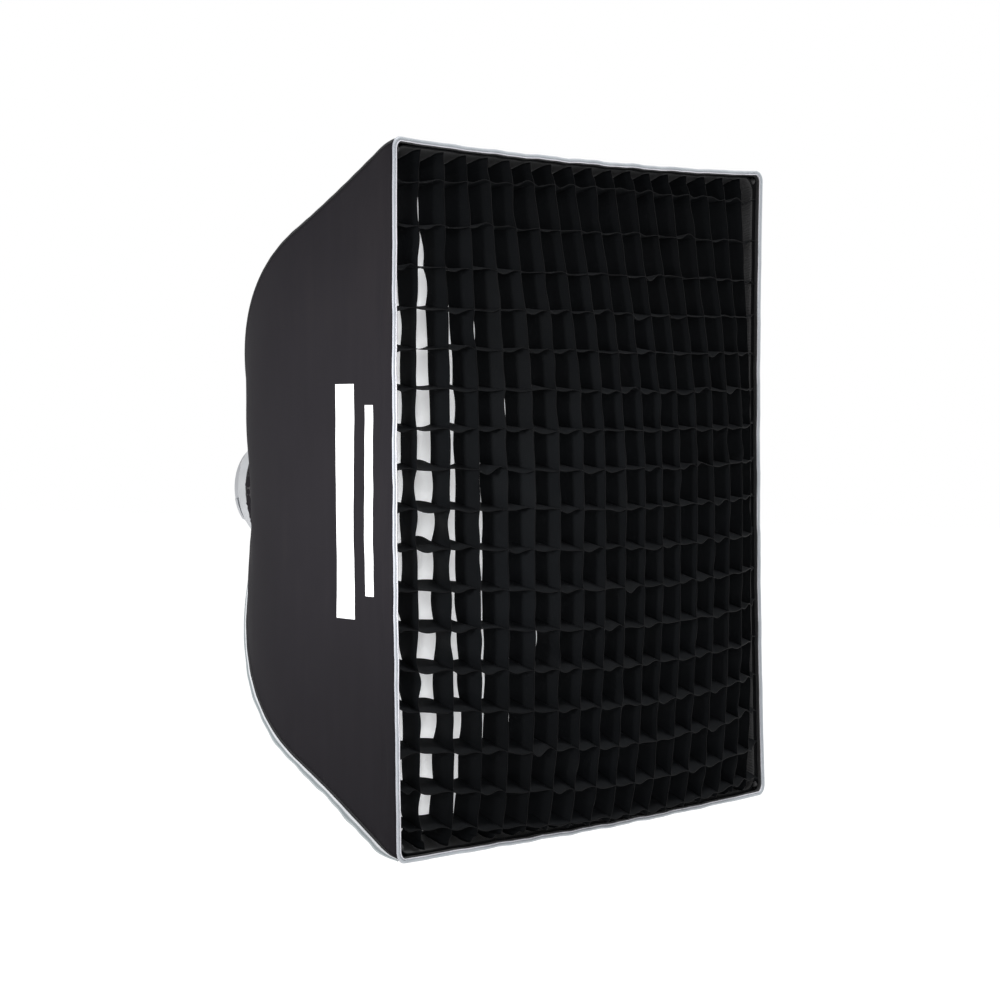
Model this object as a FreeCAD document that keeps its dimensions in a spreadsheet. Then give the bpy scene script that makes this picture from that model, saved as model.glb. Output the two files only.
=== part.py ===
import FreeCAD, Part
import math
import os
import re
import Sketcher
from FreeCAD import Placement, Rotation, Vector

# Square softbox with a fabric grid.  The row frame has its origin in the centre
# of the lamp's mount face: +Y points to the lamp, the open front faces -Y and +Z
# is up.  Most sub-parts are drawn with Y as the depth behind the open front and
# +Z outwards, and their Placement carries them back by the whole depth of the
# box and turns them about Y to their side or corner.

DIMENSIONS = {
    # Cloth box: each side runs straight, bends round and runs straight to the neck.
    "front_half": 450,        # half the width of the open front
    "box_depth": 557,         # open front to the rear face of the metal ring
    "ring_setback": 6,        # rear face of the ring to the lamp's mount face
    "bend_depth": 391,        # where the two straight runs of a side would meet
    "bend_half": 286,
    "bend_radius": 540,       # bend in the middle of a side
    "seam_radius": 655,       # the same bend along a corner seam
    "neck_depth": 531,
    "neck_half": 69,
    "cloth": 1.2,
    "seam_gap": 3.2,          # edge of a panel to the plane of its corner seam
    "panel_play": 0.2,        # front rim piping to the panels
    "mitre_start": 34.5,      # where the mitred edges start, inside the neck opening
    "neck_cut": 78.5,         # radius left free round the collar
    # Piping
    "rim_radius": 3.5,
    "rim_corner": 12,
    "piping_radius": 3,
    "piping_sink": 1,         # how far a corner piping sits inside the sharp corner
    "piping_start": 9.5,
    "piping_end": 528,
    # Rods and what holds their ends
    "rod_radius": 2.5,
    "rod_inset": 9,           # corner seam to the centre line of the rod
    "rod_start": 14,
    "rod_end": 536.5,
    "cap_radius": 3.4,
    "cap_start": 10,
    "cap_end": 30,
    "cap_play": 0.1,
    "pocket_radius": 4.8,
    "pocket_bore": 3.5,
    "pocket_start": 8.6,
    "pocket_end": 46,
    "socket_radius": 5.5,
    "socket_bore": 2.6,
    "socket_start": 527,
    "socket_end": 534,
    "socket_mouth": 525,      # the drilling starts in front of the socket
    "rod_play": 0.2,          # end of a rod to the bottom of its socket
    # Metal ring and collar
    "ring_radius": 75,
    "ring_bore": 60,
    "ring_front": 524,
    "seat_radius": 68.3,      # recess in the rear face for the adapter's disc
    "seat_depth": 9,
    "ring_edge": 1,           # bevel of the ring's outer edges
    "collar_bore": 75.3,
    "collar_radius": 77.8,
    "collar_front": 526,
    "collar_back": 540,
    "web_half": 67.5,         # flat web that closes the corners of the neck
    "web_back": 530.5,
    "collar_notch": 6.2,      # clearance round each rod socket
    "notch_start": 522,
    # Lamp adapter
    "disc_radius": 68,
    "disc_play": 0.3,
    "land_radius": 62,
    "lamp_bore": 49,
    "spigot_radius": 59.5,
    "spigot_bore": 56,
    "spigot_step": 2,
    "spigot_length": 12,
    "lug_radius": 63,
    "lug_front": 6,
    "lug_back": 10,
    "lug_angle": 32,
    "lug_count": 3,
    # Clips that keep the disc in the ring
    "clip_count": 3,
    "clip_inner": 64,
    "clip_outer": 74,
    "clip_half": 7,
    "clip_plate": 1.5,
    "clip_screw": 71.6,       # radius of the circle of the clip screws
    "screw_radius": 1.5,
    "screw_play": 0.05,
    "screw_depth": 7,
    "head_radius": 2.6,
    "head_height": 1.7,
    # Lock screw
    "lock_setback": 10.5,     # mount face to the axis of the lock screw
    "lock_radius": 2.5,
    "lock_bottom": 68.5,
    "lock_top": 92,
    "knob_radius": 9,
    "knob_bottom": 80,
    "knob_top": 96,
    "knob_edge": 1.2,
    "knob_notch": 1.5,
    "knob_notches": 12,
    # Hook-and-loop tapes and the frames that they hold
    "tape": 1,
    "tape_end_gap": 42,       # end of a tape to the corner of the box
    "frame_gap": 3.2,         # outer face of the wall to the outer face of a frame
    "frame_corner": 32,
    "frame_wall": 1.5,
    # Grid: its strips belly out of the box, so they stand proud of the front rim
    "grid_front": -24,
    "grid_back": 16,
    "grid_pitch": 49,
    "strip": 1,
    "slot_play": 0.1,
    "border_front": 9,
    "border_back": 43,
    "grid_tape_front": 12,
    "grid_tape_back": 40,
    # Front diffuser
    "diffuser_front": 46,
    "diffuser_cloth": 1,
    "diffuser_back": 72,
    "diffuser_tape_front": 49,
    "diffuser_tape_back": 70,
    # Inner baffle
    "baffle_depth": 250,
    "baffle_half": 290,
    "baffle_corner": 30,
    "baffle_cloth": 0.8,
    "hem_width": 12,
    "hem_cloth": 2,
    "strap_cloth": 1,
    "strap_half": 7.5,
    "strap_start": 397.8,      # distances from the axis along a corner plane
    "strap_end": 462,
    "tab_start": 446,
    "tab_end": 473,
    "tab_setback": 2.4,       # strap to the tab behind it
    "snap_place": 454,
    "snap_radius": 5,
    "snap_height": 1.4,
}

GRID_STRIPS = 17
ROOT2 = "sqrt(2)"
SIDES = {"top": 0, "right": 90, "bottom": 180, "left": 270}
CORNERS = {"top_right": 45, "bottom_right": 135, "bottom_left": 225, "top_left": 315}
ORIGIN = -1
POINT = 1
START = 1
END = 2
CENTRE = 3

doc = FreeCAD.newDocument("Softbox")
sheet = doc.addObject("Spreadsheet::Sheet", "Dimensions")
nodes = []


def fill_sheet():
    for row, (alias, value) in enumerate(DIMENSIONS.items(), start=1):
        sheet.set(f"A{row}", alias)
        sheet.set(f"B{row}", str(value))
        sheet.setAlias(f"B{row}", alias)
    doc.recompute()


def on_sheet(text):
    """The expression with each dimension's name pointing at its cell."""
    def cell(match):
        word = match.group(0)
        return f"Dimensions.{word}" if word in DIMENSIONS else word
    return re.sub(r"[a-z_][a-z0-9_]*", cell, str(text))


def number(text):
    """The present value of an expression."""
    value = sheet.evalExpression(on_sheet(text))
    return float(getattr(value, "Value", value))


def bind(item, name, text):
    item.setExpression(name, on_sheet(text))


# ---------------------------------------------------------------- the side's curve

def slope(run, ratio=ROOT2):
    """Angle between the axis and a straight run, in a side's plane or a seam's."""
    if run == "front":
        return f"atan({ratio} * (front_half - bend_half) / bend_depth)"
    return f"atan({ratio} * (bend_half - neck_half) / (neck_depth - bend_depth))"


def off_axis(run, depth, inset, ratio=ROOT2):
    """Distance from the axis of a straight run moved inwards by inset."""
    angle = slope(run, ratio)
    if run == "front":
        return f"{ratio} * front_half - tan({angle}) * ({depth}) - ({inset}) / cos({angle})"
    return f"{ratio} * neck_half + tan({angle}) * (neck_depth - ({depth})) - ({inset}) / cos({angle})"


def beside_run(run, depth, radius):
    """Point at a radius from the rod's centre line, square to it at that depth."""
    angle = slope(run)
    return (f"{depth} + ({radius}) * sin({angle})",
            f"{off_axis(run, depth, 'rod_inset')} + ({radius}) * cos({angle})")


def half_at(depth, gap="0"):
    """Half width of the box near its front, less a gap."""
    return f"front_half - (front_half - bend_half) / bend_depth * ({depth}) - ({gap})"


# ---------------------------------------------------------------- sketches

def start_body(label, turn=0, at_front=True):
    body = doc.addObject("PartDesign::Body", label)
    body.Label = label
    body.AllowCompound = True
    body.Placement = Placement(Vector(0, 0, 0), Rotation(Vector(0, 1, 0), turn))
    if at_front:
        bind(body, "Placement.Base.y", "-(box_depth + ring_setback)")
    nodes.append(body)
    return body


def origin_part(body, role):
    return next(item for item in body.Origin.OriginFeatures if item.Role == role)


def start_sketch(body, name, plane, lift=None, turn=0):
    """A sketch on an origin plane, lifted along its normal or turned about its own X."""
    sketch = body.newObject("Sketcher::SketchObject", name)
    sketch.AttachmentSupport = [(origin_part(body, plane), "")]
    sketch.MapMode = "FlatFace"
    sketch.AttachmentOffset = Placement(Vector(0, 0, 0), Rotation(Vector(1, 0, 0), turn))
    if lift is not None:
        bind(sketch, "AttachmentOffset.Base.z", lift)
    return sketch


def measure(sketch, kind, *where, text):
    """A dimension whose value follows the sheet."""
    index = sketch.addConstraint(Sketcher.Constraint(kind, *where, number(text)))
    bind(sketch, f"Constraints[{index}]", text)


def pin(sketch, shape, point, place):
    measure(sketch, "DistanceX", ORIGIN, POINT, shape, point, text=place[0])
    measure(sketch, "DistanceY", ORIGIN, POINT, shape, point, text=place[1])


def vector(place):
    return Vector(number(place[0]), number(place[1]), 0)


def add_line(sketch, start, end, guide=False):
    return sketch.addGeometry(Part.LineSegment(vector(start), vector(end)), guide)


def join(sketch, first, first_end, second, second_end):
    sketch.addConstraint(Sketcher.Constraint("Coincident", first, first_end, second, second_end))


def outline(sketch, corners):
    """Closed outline of straight lines through corners given as expressions."""
    following = corners[1:] + corners[:1]
    lines = [add_line(sketch, here, there) for here, there in zip(corners, following)]
    for line, after, corner in zip(lines, lines[1:] + lines[:1], corners):
        join(sketch, line, END, after, START)
        pin(sketch, line, START, corner)


def add_circle(sketch, radius, place=("0", "0")):
    circle = sketch.addGeometry(Part.Circle(vector(place), Vector(0, 0, 1), number(radius)))
    pin(sketch, circle, CENTRE, place)
    measure(sketch, "Radius", circle, text=radius)


def turning_line(sketch, start, end):
    """Guide line that a revolution turns about, as the sketch's Axis0."""
    line = add_line(sketch, start, end, guide=True)
    pin(sketch, line, START, start)
    pin(sketch, line, END, end)


def rounded_square(sketch, half, radius):
    """Square with round corners; its first line starts in the middle of the top."""
    flat = f"({half}) - ({radius})"
    far = f"{half}"
    ends = [("0", far, flat, far), (far, flat, far, f"-({flat})"),
            (flat, f"-({far})", f"-({flat})", f"-({far})"),
            (f"-({far})", f"-({flat})", f"-({far})", flat), (f"-({flat})", far, "0", far)]
    lines = []
    for x1, y1, x2, y2 in ends:
        line = add_line(sketch, (x1, y1), (x2, y2))
        pin(sketch, line, START, (x1, y1))
        pin(sketch, line, END, (x2, y2))
        lines.append(line)
    for index, (line, after) in enumerate(zip(lines, lines[1:])):
        across, up = [(1, 1), (1, -1), (-1, -1), (-1, 1)][index]
        centre = Vector(across * number(flat), up * number(flat), 0)
        circle = Part.Circle(centre, Vector(0, 0, 1), number(radius))
        start = math.radians(-90 * index)
        arc = sketch.addGeometry(Part.ArcOfCircle(circle, start, start + math.pi / 2))
        join(sketch, line, END, arc, END)
        join(sketch, after, START, arc, START)
        measure(sketch, "Radius", arc, text=radius)


def side_curve(sketch, ratio, radius, inset, start, end):
    """Straight, round and straight run of a side moved inwards, and its two ends."""
    middle = f"(({slope('front', ratio)}) + ({slope('rear', ratio)})) / 2"
    half_turn = f"(({slope('rear', ratio)}) - ({slope('front', ratio)})) / 2"
    reach = f"({inset}) / cos({half_turn})"
    meeting = (f"bend_depth - {reach} * sin({middle})", f"{ratio} * bend_half - {reach} * cos({middle})")
    first = (start, off_axis("front", start, inset, ratio))
    last = (end, off_axis("rear", end, inset, ratio))
    bend = f"({radius}) - ({inset})"

    corner = vector(meeting)
    forward = (vector(first) - corner).normalize()
    backward = (vector(last) - corner).normalize()
    tangent = number(bend) * math.tan(math.radians(number(half_turn)))
    inward = (forward + backward).normalize()
    centre = corner + inward * (number(bend) / math.cos(math.radians(number(half_turn))))
    near = corner + forward * tangent
    far = corner + backward * tangent
    angles = [math.atan2(end_point.y - centre.y, end_point.x - centre.x) for end_point in (far, near)]
    circle = Part.Circle(centre, Vector(0, 0, 1), number(bend))

    front = sketch.addGeometry(Part.LineSegment(vector(first), near))
    arc = sketch.addGeometry(Part.ArcOfCircle(circle, *angles))
    rear = sketch.addGeometry(Part.LineSegment(far, vector(last)))
    mark = sketch.addGeometry(Part.Point(corner), True)
    pin(sketch, front, START, first)
    pin(sketch, rear, END, last)
    pin(sketch, mark, POINT, meeting)
    sketch.addConstraint(Sketcher.Constraint("Tangent", front, END, arc, END))
    sketch.addConstraint(Sketcher.Constraint("Tangent", arc, START, rear, START))
    for line in (front, rear):
        sketch.addConstraint(Sketcher.Constraint("PointOnObject", mark, POINT, line))
    measure(sketch, "Radius", arc, text=bend)
    return (front, START, first), (rear, END, last)


# ---------------------------------------------------------------- features

def grow(body, kind, name, profile, **settings):
    """A PartDesign feature; settings that are text are bound to the sheet."""
    feature = body.newObject(f"PartDesign::{kind}", name)
    feature.Profile = profile
    for key, value in settings.items():
        if isinstance(value, str) and key in ("Length", "Radius"):
            bind(feature, key, value)
        else:
            setattr(feature, key, value)
    body.Tip = feature
    return feature


def pad_through(body, name, profile, length):
    return grow(body, "Pad", name, profile, SideType="Symmetric", Length=length)


def cut_through(body, name, profile, length):
    return grow(body, "Pocket", name, profile, SideType="Symmetric", Length=length)


def turn_solid(body, name, profile, axis="H_Axis", cut=False):
    kind = "Groove" if cut else "Revolution"
    return grow(body, kind, name, profile, ReferenceAxis=(profile, [axis]), Angle=360.0)


def around_axis(body, name, features, count):
    pattern = body.newObject("PartDesign::PolarPattern", name)
    pattern.Originals = features
    pattern.Axis = (origin_part(body, "Y_Axis"), [""])
    pattern.Angle = 360.0
    pattern.Occurrences = count
    body.Tip = pattern
    return pattern


def sweep(body, name, path, radius):
    """Round bar along a path, drawn on the plane square to the path's first end."""
    profile = body.newObject("Sketcher::SketchObject", f"{name}_section")
    profile.AttachmentSupport = [(path, "Edge1")]
    profile.MapMode = "NormalToEdge"
    profile.MapPathParameter = 0.0
    add_circle(profile, radius)
    pipe = body.newObject("PartDesign::AdditivePipe", name)
    pipe.Profile = profile
    pipe.Spine = path
    body.Tip = pipe


def loft(body, name, kind, sections):
    made = grow(body, kind, name, sections[0])
    made.Sections = sections[1:]
    made.Ruled = True


# ---------------------------------------------------------------- cloth box

def make_panel(name, turn):
    """One side of the box, cut back from its corner seams and from the collar."""
    body = start_body(f"panel_{name}", turn)
    band = start_sketch(body, f"panel_{name}_band", "YZ_Plane")
    start = "2 * rim_radius + panel_play"
    outer = side_curve(band, "1", "bend_radius", "0", start, "neck_depth")
    inner = side_curve(band, "1", "bend_radius", "cloth", start, "neck_depth")
    for (line, end, place), (other, other_end, other_place) in zip(outer, inner):
        edge = add_line(band, place, other_place)
        join(band, line, end, edge, START)
        join(band, other, other_end, edge, END)
    pad_through(body, f"panel_{name}_sheet", band, "2 * front_half")

    mitre = start_sketch(body, f"panel_{name}_mitre", "XZ_Plane")
    edge = f"{ROOT2} * seam_gap"
    low = "mitre_start"
    high = "front_half + cloth"
    for sign in ("1", "-1"):
        outline(mitre, [(f"{sign} * ({low} - {edge})", low), (f"{sign} * ({high} - {edge})", high),
                        (f"{sign} * 2 * ({high})", high), (f"{sign} * 2 * ({high})", low)])
    cut_through(body, f"panel_{name}_edges", mitre, "4 * box_depth")

    neck = start_sketch(body, f"panel_{name}_neck", "XZ_Plane")
    add_circle(neck, "neck_cut")
    cut_through(body, f"panel_{name}_opening", neck, "4 * box_depth")


def make_corner_piping(name, turn):
    body = start_body(f"corner_piping_{name}", turn)
    path = start_sketch(body, f"corner_piping_{name}_path", "YZ_Plane")
    side_curve(path, ROOT2, "seam_radius", "piping_sink", "piping_start", "piping_end")
    sweep(body, f"corner_piping_{name}_cord", path, "piping_radius")


def make_rim_piping():
    body = start_body("front_rim_piping")
    path = start_sketch(body, "rim_path", "XZ_Plane", lift="-rim_radius")
    rounded_square(path, "front_half - rim_radius", "rim_corner - rim_radius")
    sweep(body, "rim_cord", path, "rim_radius")


def make_rod(name, turn):
    body = start_body(f"rod_{name}", turn)
    path = start_sketch(body, f"rod_{name}_path", "YZ_Plane")
    side_curve(path, ROOT2, "seam_radius", "rod_inset", "rod_start", "rod_end")
    sweep(body, f"rod_{name}_bar", path, "rod_radius")


def turned_on_rod(body, name, run, corners, turn=0, cut=False):
    """Solid turned about a straight run of the rod; corners are (depth, radius)."""
    sketch = start_sketch(body, f"{name}_profile", "YZ_Plane", turn=turn)
    first = min(corners, key=lambda corner: number(corner[0]))[0]
    last = max(corners, key=lambda corner: number(corner[0]))[0]
    turning_line(sketch, beside_run(run, first, "0"), beside_run(run, last, "0"))
    outline(sketch, [beside_run(run, depth, radius) for depth, radius in corners])
    return turn_solid(body, name, sketch, axis="Axis0", cut=cut)


def make_rod_cap(name, turn):
    body = start_body(f"rod_cap_{name}", turn)
    turned_on_rod(body, f"rod_cap_{name}_shell", "front", [
        ("cap_start", "0"), ("cap_start", "cap_radius"), ("cap_end", "cap_radius"),
        ("cap_end", "rod_radius"), ("rod_start", "rod_radius"), ("rod_start", "0")])


def make_rod_pocket(name, turn):
    """Cloth pocket, closed at the front, that the capped end of a rod pushes into."""
    body = start_body(f"rod_pocket_{name}", turn)
    inside = "cap_start - cap_play"
    turned_on_rod(body, f"rod_pocket_{name}_sleeve", "front", [
        ("pocket_start", "0"), ("pocket_start", "pocket_radius"), ("pocket_end", "pocket_radius"),
        ("pocket_end", "pocket_bore"), (inside, "pocket_bore"), (inside, "0")])


# ---------------------------------------------------------------- ring and collar

def make_speed_ring():
    """Metal ring with four rod sockets, a seat for the adapter and its screw holes."""
    body = start_body("speed_ring")
    section = start_sketch(body, "ring_section", "YZ_Plane")
    seat = "box_depth - seat_depth"
    outline(section, [
        ("ring_front", "ring_bore"), ("ring_front", "ring_radius - ring_edge"),
        ("ring_front + ring_edge", "ring_radius"), ("box_depth - ring_edge", "ring_radius"),
        ("box_depth", "ring_radius - ring_edge"), ("box_depth", "seat_radius"),
        (seat, "seat_radius"), (seat, "ring_bore")])
    turn_solid(body, "ring_blank", section)

    boss = turned_on_rod(body, "ring_socket", "rear", [
        ("socket_start", "0"), ("socket_start", "socket_radius"),
        ("socket_end", "socket_radius"), ("socket_end", "0")], turn=45)
    around_axis(body, "ring_sockets", [boss], len(CORNERS))
    bore = turned_on_rod(body, "ring_socket_bore", "rear", [
        ("socket_mouth", "0"), ("socket_mouth", "socket_bore"),
        ("rod_end + rod_play", "socket_bore"), ("rod_end + rod_play", "0")], turn=45, cut=True)
    around_axis(body, "ring_socket_bores", [bore], len(CORNERS))

    screw = start_sketch(body, "ring_screw_place", "XZ_Plane", lift="-(box_depth)")
    add_circle(screw, "screw_radius + screw_play", ("0", "-clip_screw"))
    hole = grow(body, "Pocket", "ring_screw_hole", screw, Length="screw_depth", Reversed=True)
    around_axis(body, "ring_screw_holes", [hole], DIMENSIONS["clip_count"])

    lock = start_sketch(body, "ring_lock_place", "XY_Plane")
    add_circle(lock, "lock_radius + screw_play", ("0", "box_depth + ring_setback - lock_setback"))
    grow(body, "Pocket", "ring_lock_hole", lock, Length="2 * ring_radius", Reversed=True)


def make_collar():
    """Elastic hem round the ring, with a web in each corner of the neck."""
    body = start_body("neck_collar")
    section = start_sketch(body, "collar_section", "YZ_Plane")
    outline(section, [("collar_front", "collar_bore"), ("collar_front", "collar_radius"),
                      ("collar_back", "collar_radius"), ("collar_back", "collar_bore")])
    turn_solid(body, "collar_band", section)
    web = start_sketch(body, "collar_web_outline", "XZ_Plane", lift="-web_back")
    outline(web, [("web_half", "web_half"), ("web_half", "-web_half"),
                  ("-web_half", "-web_half"), ("-web_half", "web_half")])
    grow(body, "Pad", "collar_web", web, Length="cloth")
    opening = start_sketch(body, "collar_opening", "XZ_Plane")
    add_circle(opening, "collar_bore")
    cut_through(body, "collar_bore", opening, "4 * box_depth")
    notch = turned_on_rod(body, "collar_notch", "rear", [
        ("notch_start", "0"), ("notch_start", "collar_notch"),
        ("rod_end", "collar_notch"), ("rod_end", "0")], turn=45, cut=True)
    around_axis(body, "collar_notches", [notch], len(CORNERS))


# ---------------------------------------------------------------- adapter and locks

def make_adapter():
    """Disc that turns in the ring, with a spigot and lugs that enter the lamp."""
    body = start_body("lamp_adapter", at_front=False)
    section = start_sketch(body, "adapter_section", "YZ_Plane")
    front = "-(ring_setback + seat_depth) + disc_play"
    back = "-ring_setback - disc_play"
    outline(section, [
        (front, "lamp_bore"), (front, "disc_radius"), (back, "disc_radius"), (back, "land_radius"),
        ("0", "land_radius"), ("0", "spigot_radius"), ("spigot_length", "spigot_radius"),
        ("spigot_length", "spigot_bore"), ("spigot_step", "spigot_bore"), ("spigot_step", "lamp_bore")])
    turn_solid(body, "adapter_blank", section)
    lug = start_sketch(body, "adapter_lug_outline", "XZ_Plane", lift="-lug_back")
    root = "(spigot_bore + spigot_radius) / 2"
    edge = "lug_angle / 2"
    sides = [(f"{sign} * ({reach}) * sin({edge} * 1deg)", f"({reach}) * cos({edge} * 1deg)")
             for sign, reach in (("-1", root), ("-1", "lug_radius"), ("1", "lug_radius"), ("1", root))]
    lines = [add_line(lug, sides[0], sides[1]), add_line(lug, sides[2], sides[3])]
    limits = [math.radians(90 + sign * number(edge)) for sign in (-1, 1)]
    arcs = []
    for reach in ("lug_radius", root):
        circle = Part.Circle(Vector(0, 0, 0), Vector(0, 0, 1), number(reach))
        arcs.append(lug.addGeometry(Part.ArcOfCircle(circle, *limits)))
    for line, ends in zip(lines, (sides[:2], sides[2:])):
        pin(lug, line, START, ends[0])
        pin(lug, line, END, ends[1])
    join(lug, lines[0], END, arcs[0], END)
    join(lug, lines[1], START, arcs[0], START)
    join(lug, lines[0], START, arcs[1], END)
    join(lug, lines[1], END, arcs[1], START)
    for arc, reach in zip(arcs, ("lug_radius", root)):
        measure(lug, "Radius", arc, text=reach)
    tooth = grow(body, "Pad", "adapter_lug", lug, Length="lug_back - lug_front")
    around_axis(body, "adapter_lugs", [tooth], DIMENSIONS["lug_count"])


def make_clips():
    body = start_body("adapter_clips")
    plate = start_sketch(body, "clip_outline", "XZ_Plane", lift="-(box_depth)")
    outline(plate, [("clip_half", "-clip_inner"), ("clip_half", "-clip_outer + ring_edge"),
                    ("clip_half - 3 * ring_edge", "-clip_outer"),
                    ("3 * ring_edge - clip_half", "-clip_outer"),
                    ("-clip_half", "-clip_outer + ring_edge"), ("-clip_half", "-clip_inner")])
    add_circle(plate, "screw_radius + screw_play", ("0", "-clip_screw"))
    clip = grow(body, "Pad", "clip_plate", plate, Length="clip_plate", Reversed=True)
    around_axis(body, "clip_plates", [clip], DIMENSIONS["clip_count"])


def make_clip_screws():
    body = start_body("clip_screws")
    top = "-(box_depth + clip_plate)"
    shank = start_sketch(body, "clip_screw_shank_place", "XZ_Plane", lift=top)
    add_circle(shank, "screw_radius", ("0", "-clip_screw"))
    stem = grow(body, "Pad", "clip_screw_shank", shank, Length="screw_depth")
    head = start_sketch(body, "clip_screw_head_place", "XZ_Plane", lift=top)
    add_circle(head, "head_radius", ("0", "-clip_screw"))
    cap = grow(body, "Pad", "clip_screw_head", head, Length="head_height", Reversed=True)
    around_axis(body, "clip_screw_set", [stem, cap], DIMENSIONS["clip_count"])


def lift_to_lock(body):
    """Stands a body drawn about its own Z on the axis of the lock screw."""
    bind(body, "Placement.Base.y", "-lock_setback")


def make_lock_screw():
    body = start_body("lock_screw", at_front=False)
    lift_to_lock(body)
    section = start_sketch(body, "lock_screw_section", "XZ_Plane")
    point = "lock_bottom + lock_radius / 2"
    outline(section, [("0", "lock_bottom"), ("lock_radius / 2", "lock_bottom"),
                      ("lock_radius", point), ("lock_radius", "lock_top"), ("0", "lock_top")])
    turn_solid(body, "lock_screw_shank", section, axis="V_Axis")


def make_lock_knob():
    """Grip pressed on the lock screw, with notches round its edge."""
    body = start_body("lock_knob", at_front=False)
    lift_to_lock(body)
    section = start_sketch(body, "lock_knob_section", "XZ_Plane")
    outline(section, [
        ("lock_radius", "knob_bottom"), ("knob_radius - knob_edge", "knob_bottom"),
        ("knob_radius", "knob_bottom + knob_edge"), ("knob_radius", "knob_top - knob_edge"),
        ("knob_radius - knob_edge", "knob_top"), ("0", "knob_top"), ("0", "lock_top"),
        ("lock_radius", "lock_top")])
    turn_solid(body, "lock_knob_grip", section, axis="V_Axis")
    place = start_sketch(body, "lock_knob_notch_place", "XY_Plane", lift="knob_bottom")
    add_circle(place, "knob_notch", ("knob_radius + knob_notch / 2", "0"))
    notch = cut_through(body, "lock_knob_notch", place, "4 * knob_top")
    pattern = around_axis(body, "lock_knob_notches", [notch], DIMENSIONS["knob_notches"])
    pattern.Axis = (origin_part(body, "Z_Axis"), [""])


# ---------------------------------------------------------------- tapes and frames

def make_tape(label, turn, front, back):
    """Loop tape sewn flat on the inside of one wall."""
    body = start_body(label, turn)
    section = start_sketch(body, f"{label}_section", "YZ_Plane")
    outline(section, [
        (front, off_axis("front", front, "cloth", "1")), (back, off_axis("front", back, "cloth", "1")),
        (back, off_axis("front", back, "cloth + tape", "1")),
        (front, off_axis("front", front, "cloth + tape", "1"))])
    pad_through(body, f"{label}_strip", section, f"2 * ({half_at(back)} - tape_end_gap)")


def make_frame(label, front, back):
    """Tape frame with round corners whose four sides lean with the walls."""
    body = start_body(label)
    for kind, extra in (("AdditiveLoft", "0"), ("SubtractiveLoft", "frame_wall")):
        sections = []
        for place, depth in (("front", front), ("back", back)):
            sketch = start_sketch(body, f"{label}_{kind}_{place}", "XZ_Plane", lift=f"-({depth})")
            rounded_square(sketch, half_at(depth, f"frame_gap + {extra}"), f"frame_corner - {extra}")
            sections.append(sketch)
        loft(body, f"{label}_{kind}", kind, sections)


def grid_outline(slot_from_back):
    """Comb outline of one grid strip as (depth, place along the strip)."""
    end = half_at("grid_back", "frame_gap + frame_wall + strip / 10")
    middle = "(grid_front + grid_back) / 2"
    half_slot = "(strip + slot_play) / 2"
    mouth = "grid_back" if slot_from_back else "grid_front"
    closed = "grid_front" if slot_from_back else "grid_back"
    corners = [(closed, end), (closed, f"-({end})"), (mouth, f"-({end})")]
    for index in range(GRID_STRIPS):
        place = f"grid_pitch * {index - GRID_STRIPS // 2}"
        low = f"{place} - {half_slot}"
        high = f"{place} + {half_slot}"
        corners += [(mouth, low), (middle, low), (middle, high), (mouth, high)]
    corners.append((mouth, end))
    return corners


def make_grid_strips(label, plane, axis, slot_from_back):
    """Row of equal strips; each is slotted half way where it crosses the others."""
    body = start_body(label)
    first = f"-grid_pitch * {GRID_STRIPS // 2}"
    sketch = start_sketch(body, f"{label}_outline", plane, lift=first)
    corners = grid_outline(slot_from_back)
    if plane == "XY_Plane":
        corners = [(along, depth) for depth, along in corners]
    outline(sketch, corners)
    strip = pad_through(body, f"{label}_strip", sketch, "strip")
    pattern = body.newObject("PartDesign::LinearPattern", f"{label}_row")
    pattern.Originals = [strip]
    pattern.Direction = (origin_part(body, axis), [""])
    bind(pattern, "Length", f"grid_pitch * {GRID_STRIPS - 1}")
    pattern.Occurrences = GRID_STRIPS
    body.Tip = pattern


# ---------------------------------------------------------------- diffuser and baffle

def flat_sheet(label, depth, half, corner, cloth, hole=None):
    """Flat square of cloth with round corners, and a square hole in a hem."""
    body = start_body(label)
    sketch = start_sketch(body, f"{label}_outline", "XZ_Plane", lift=f"-({depth})")
    rounded_square(sketch, half, corner)
    if hole:
        rounded_square(sketch, f"({half}) - {hole}", f"({corner}) - {hole}")
    grow(body, "Pad", f"{label}_sheet", sketch, Length=cloth, Reversed=True)


def corner_set(label, shape):
    """Four equal solids, one in each corner plane, drawn outwards along Z."""
    body = start_body(label, CORNERS["top_right"])
    first = shape(body)
    around_axis(body, f"{label}_set", [first], len(CORNERS))


def corner_strip(label, start, end, depth, cloth):
    def shape(body):
        sketch = start_sketch(body, f"{label}_outline", "XZ_Plane", lift=f"-({depth})")
        outline(sketch, [("strap_half", start), ("strap_half", end),
                         ("-strap_half", end), ("-strap_half", start)])
        return grow(body, "Pad", f"{label}_piece", sketch, Length=cloth, Reversed=True)
    corner_set(label, shape)


def corner_button(label, depth):
    def shape(body):
        sketch = start_sketch(body, f"{label}_place", "XZ_Plane", lift=f"-({depth})")
        add_circle(sketch, "snap_radius", ("0", "snap_place"))
        return grow(body, "Pad", f"{label}_piece", sketch, Length="snap_height", Reversed=True)
    corner_set(label, shape)


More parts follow.
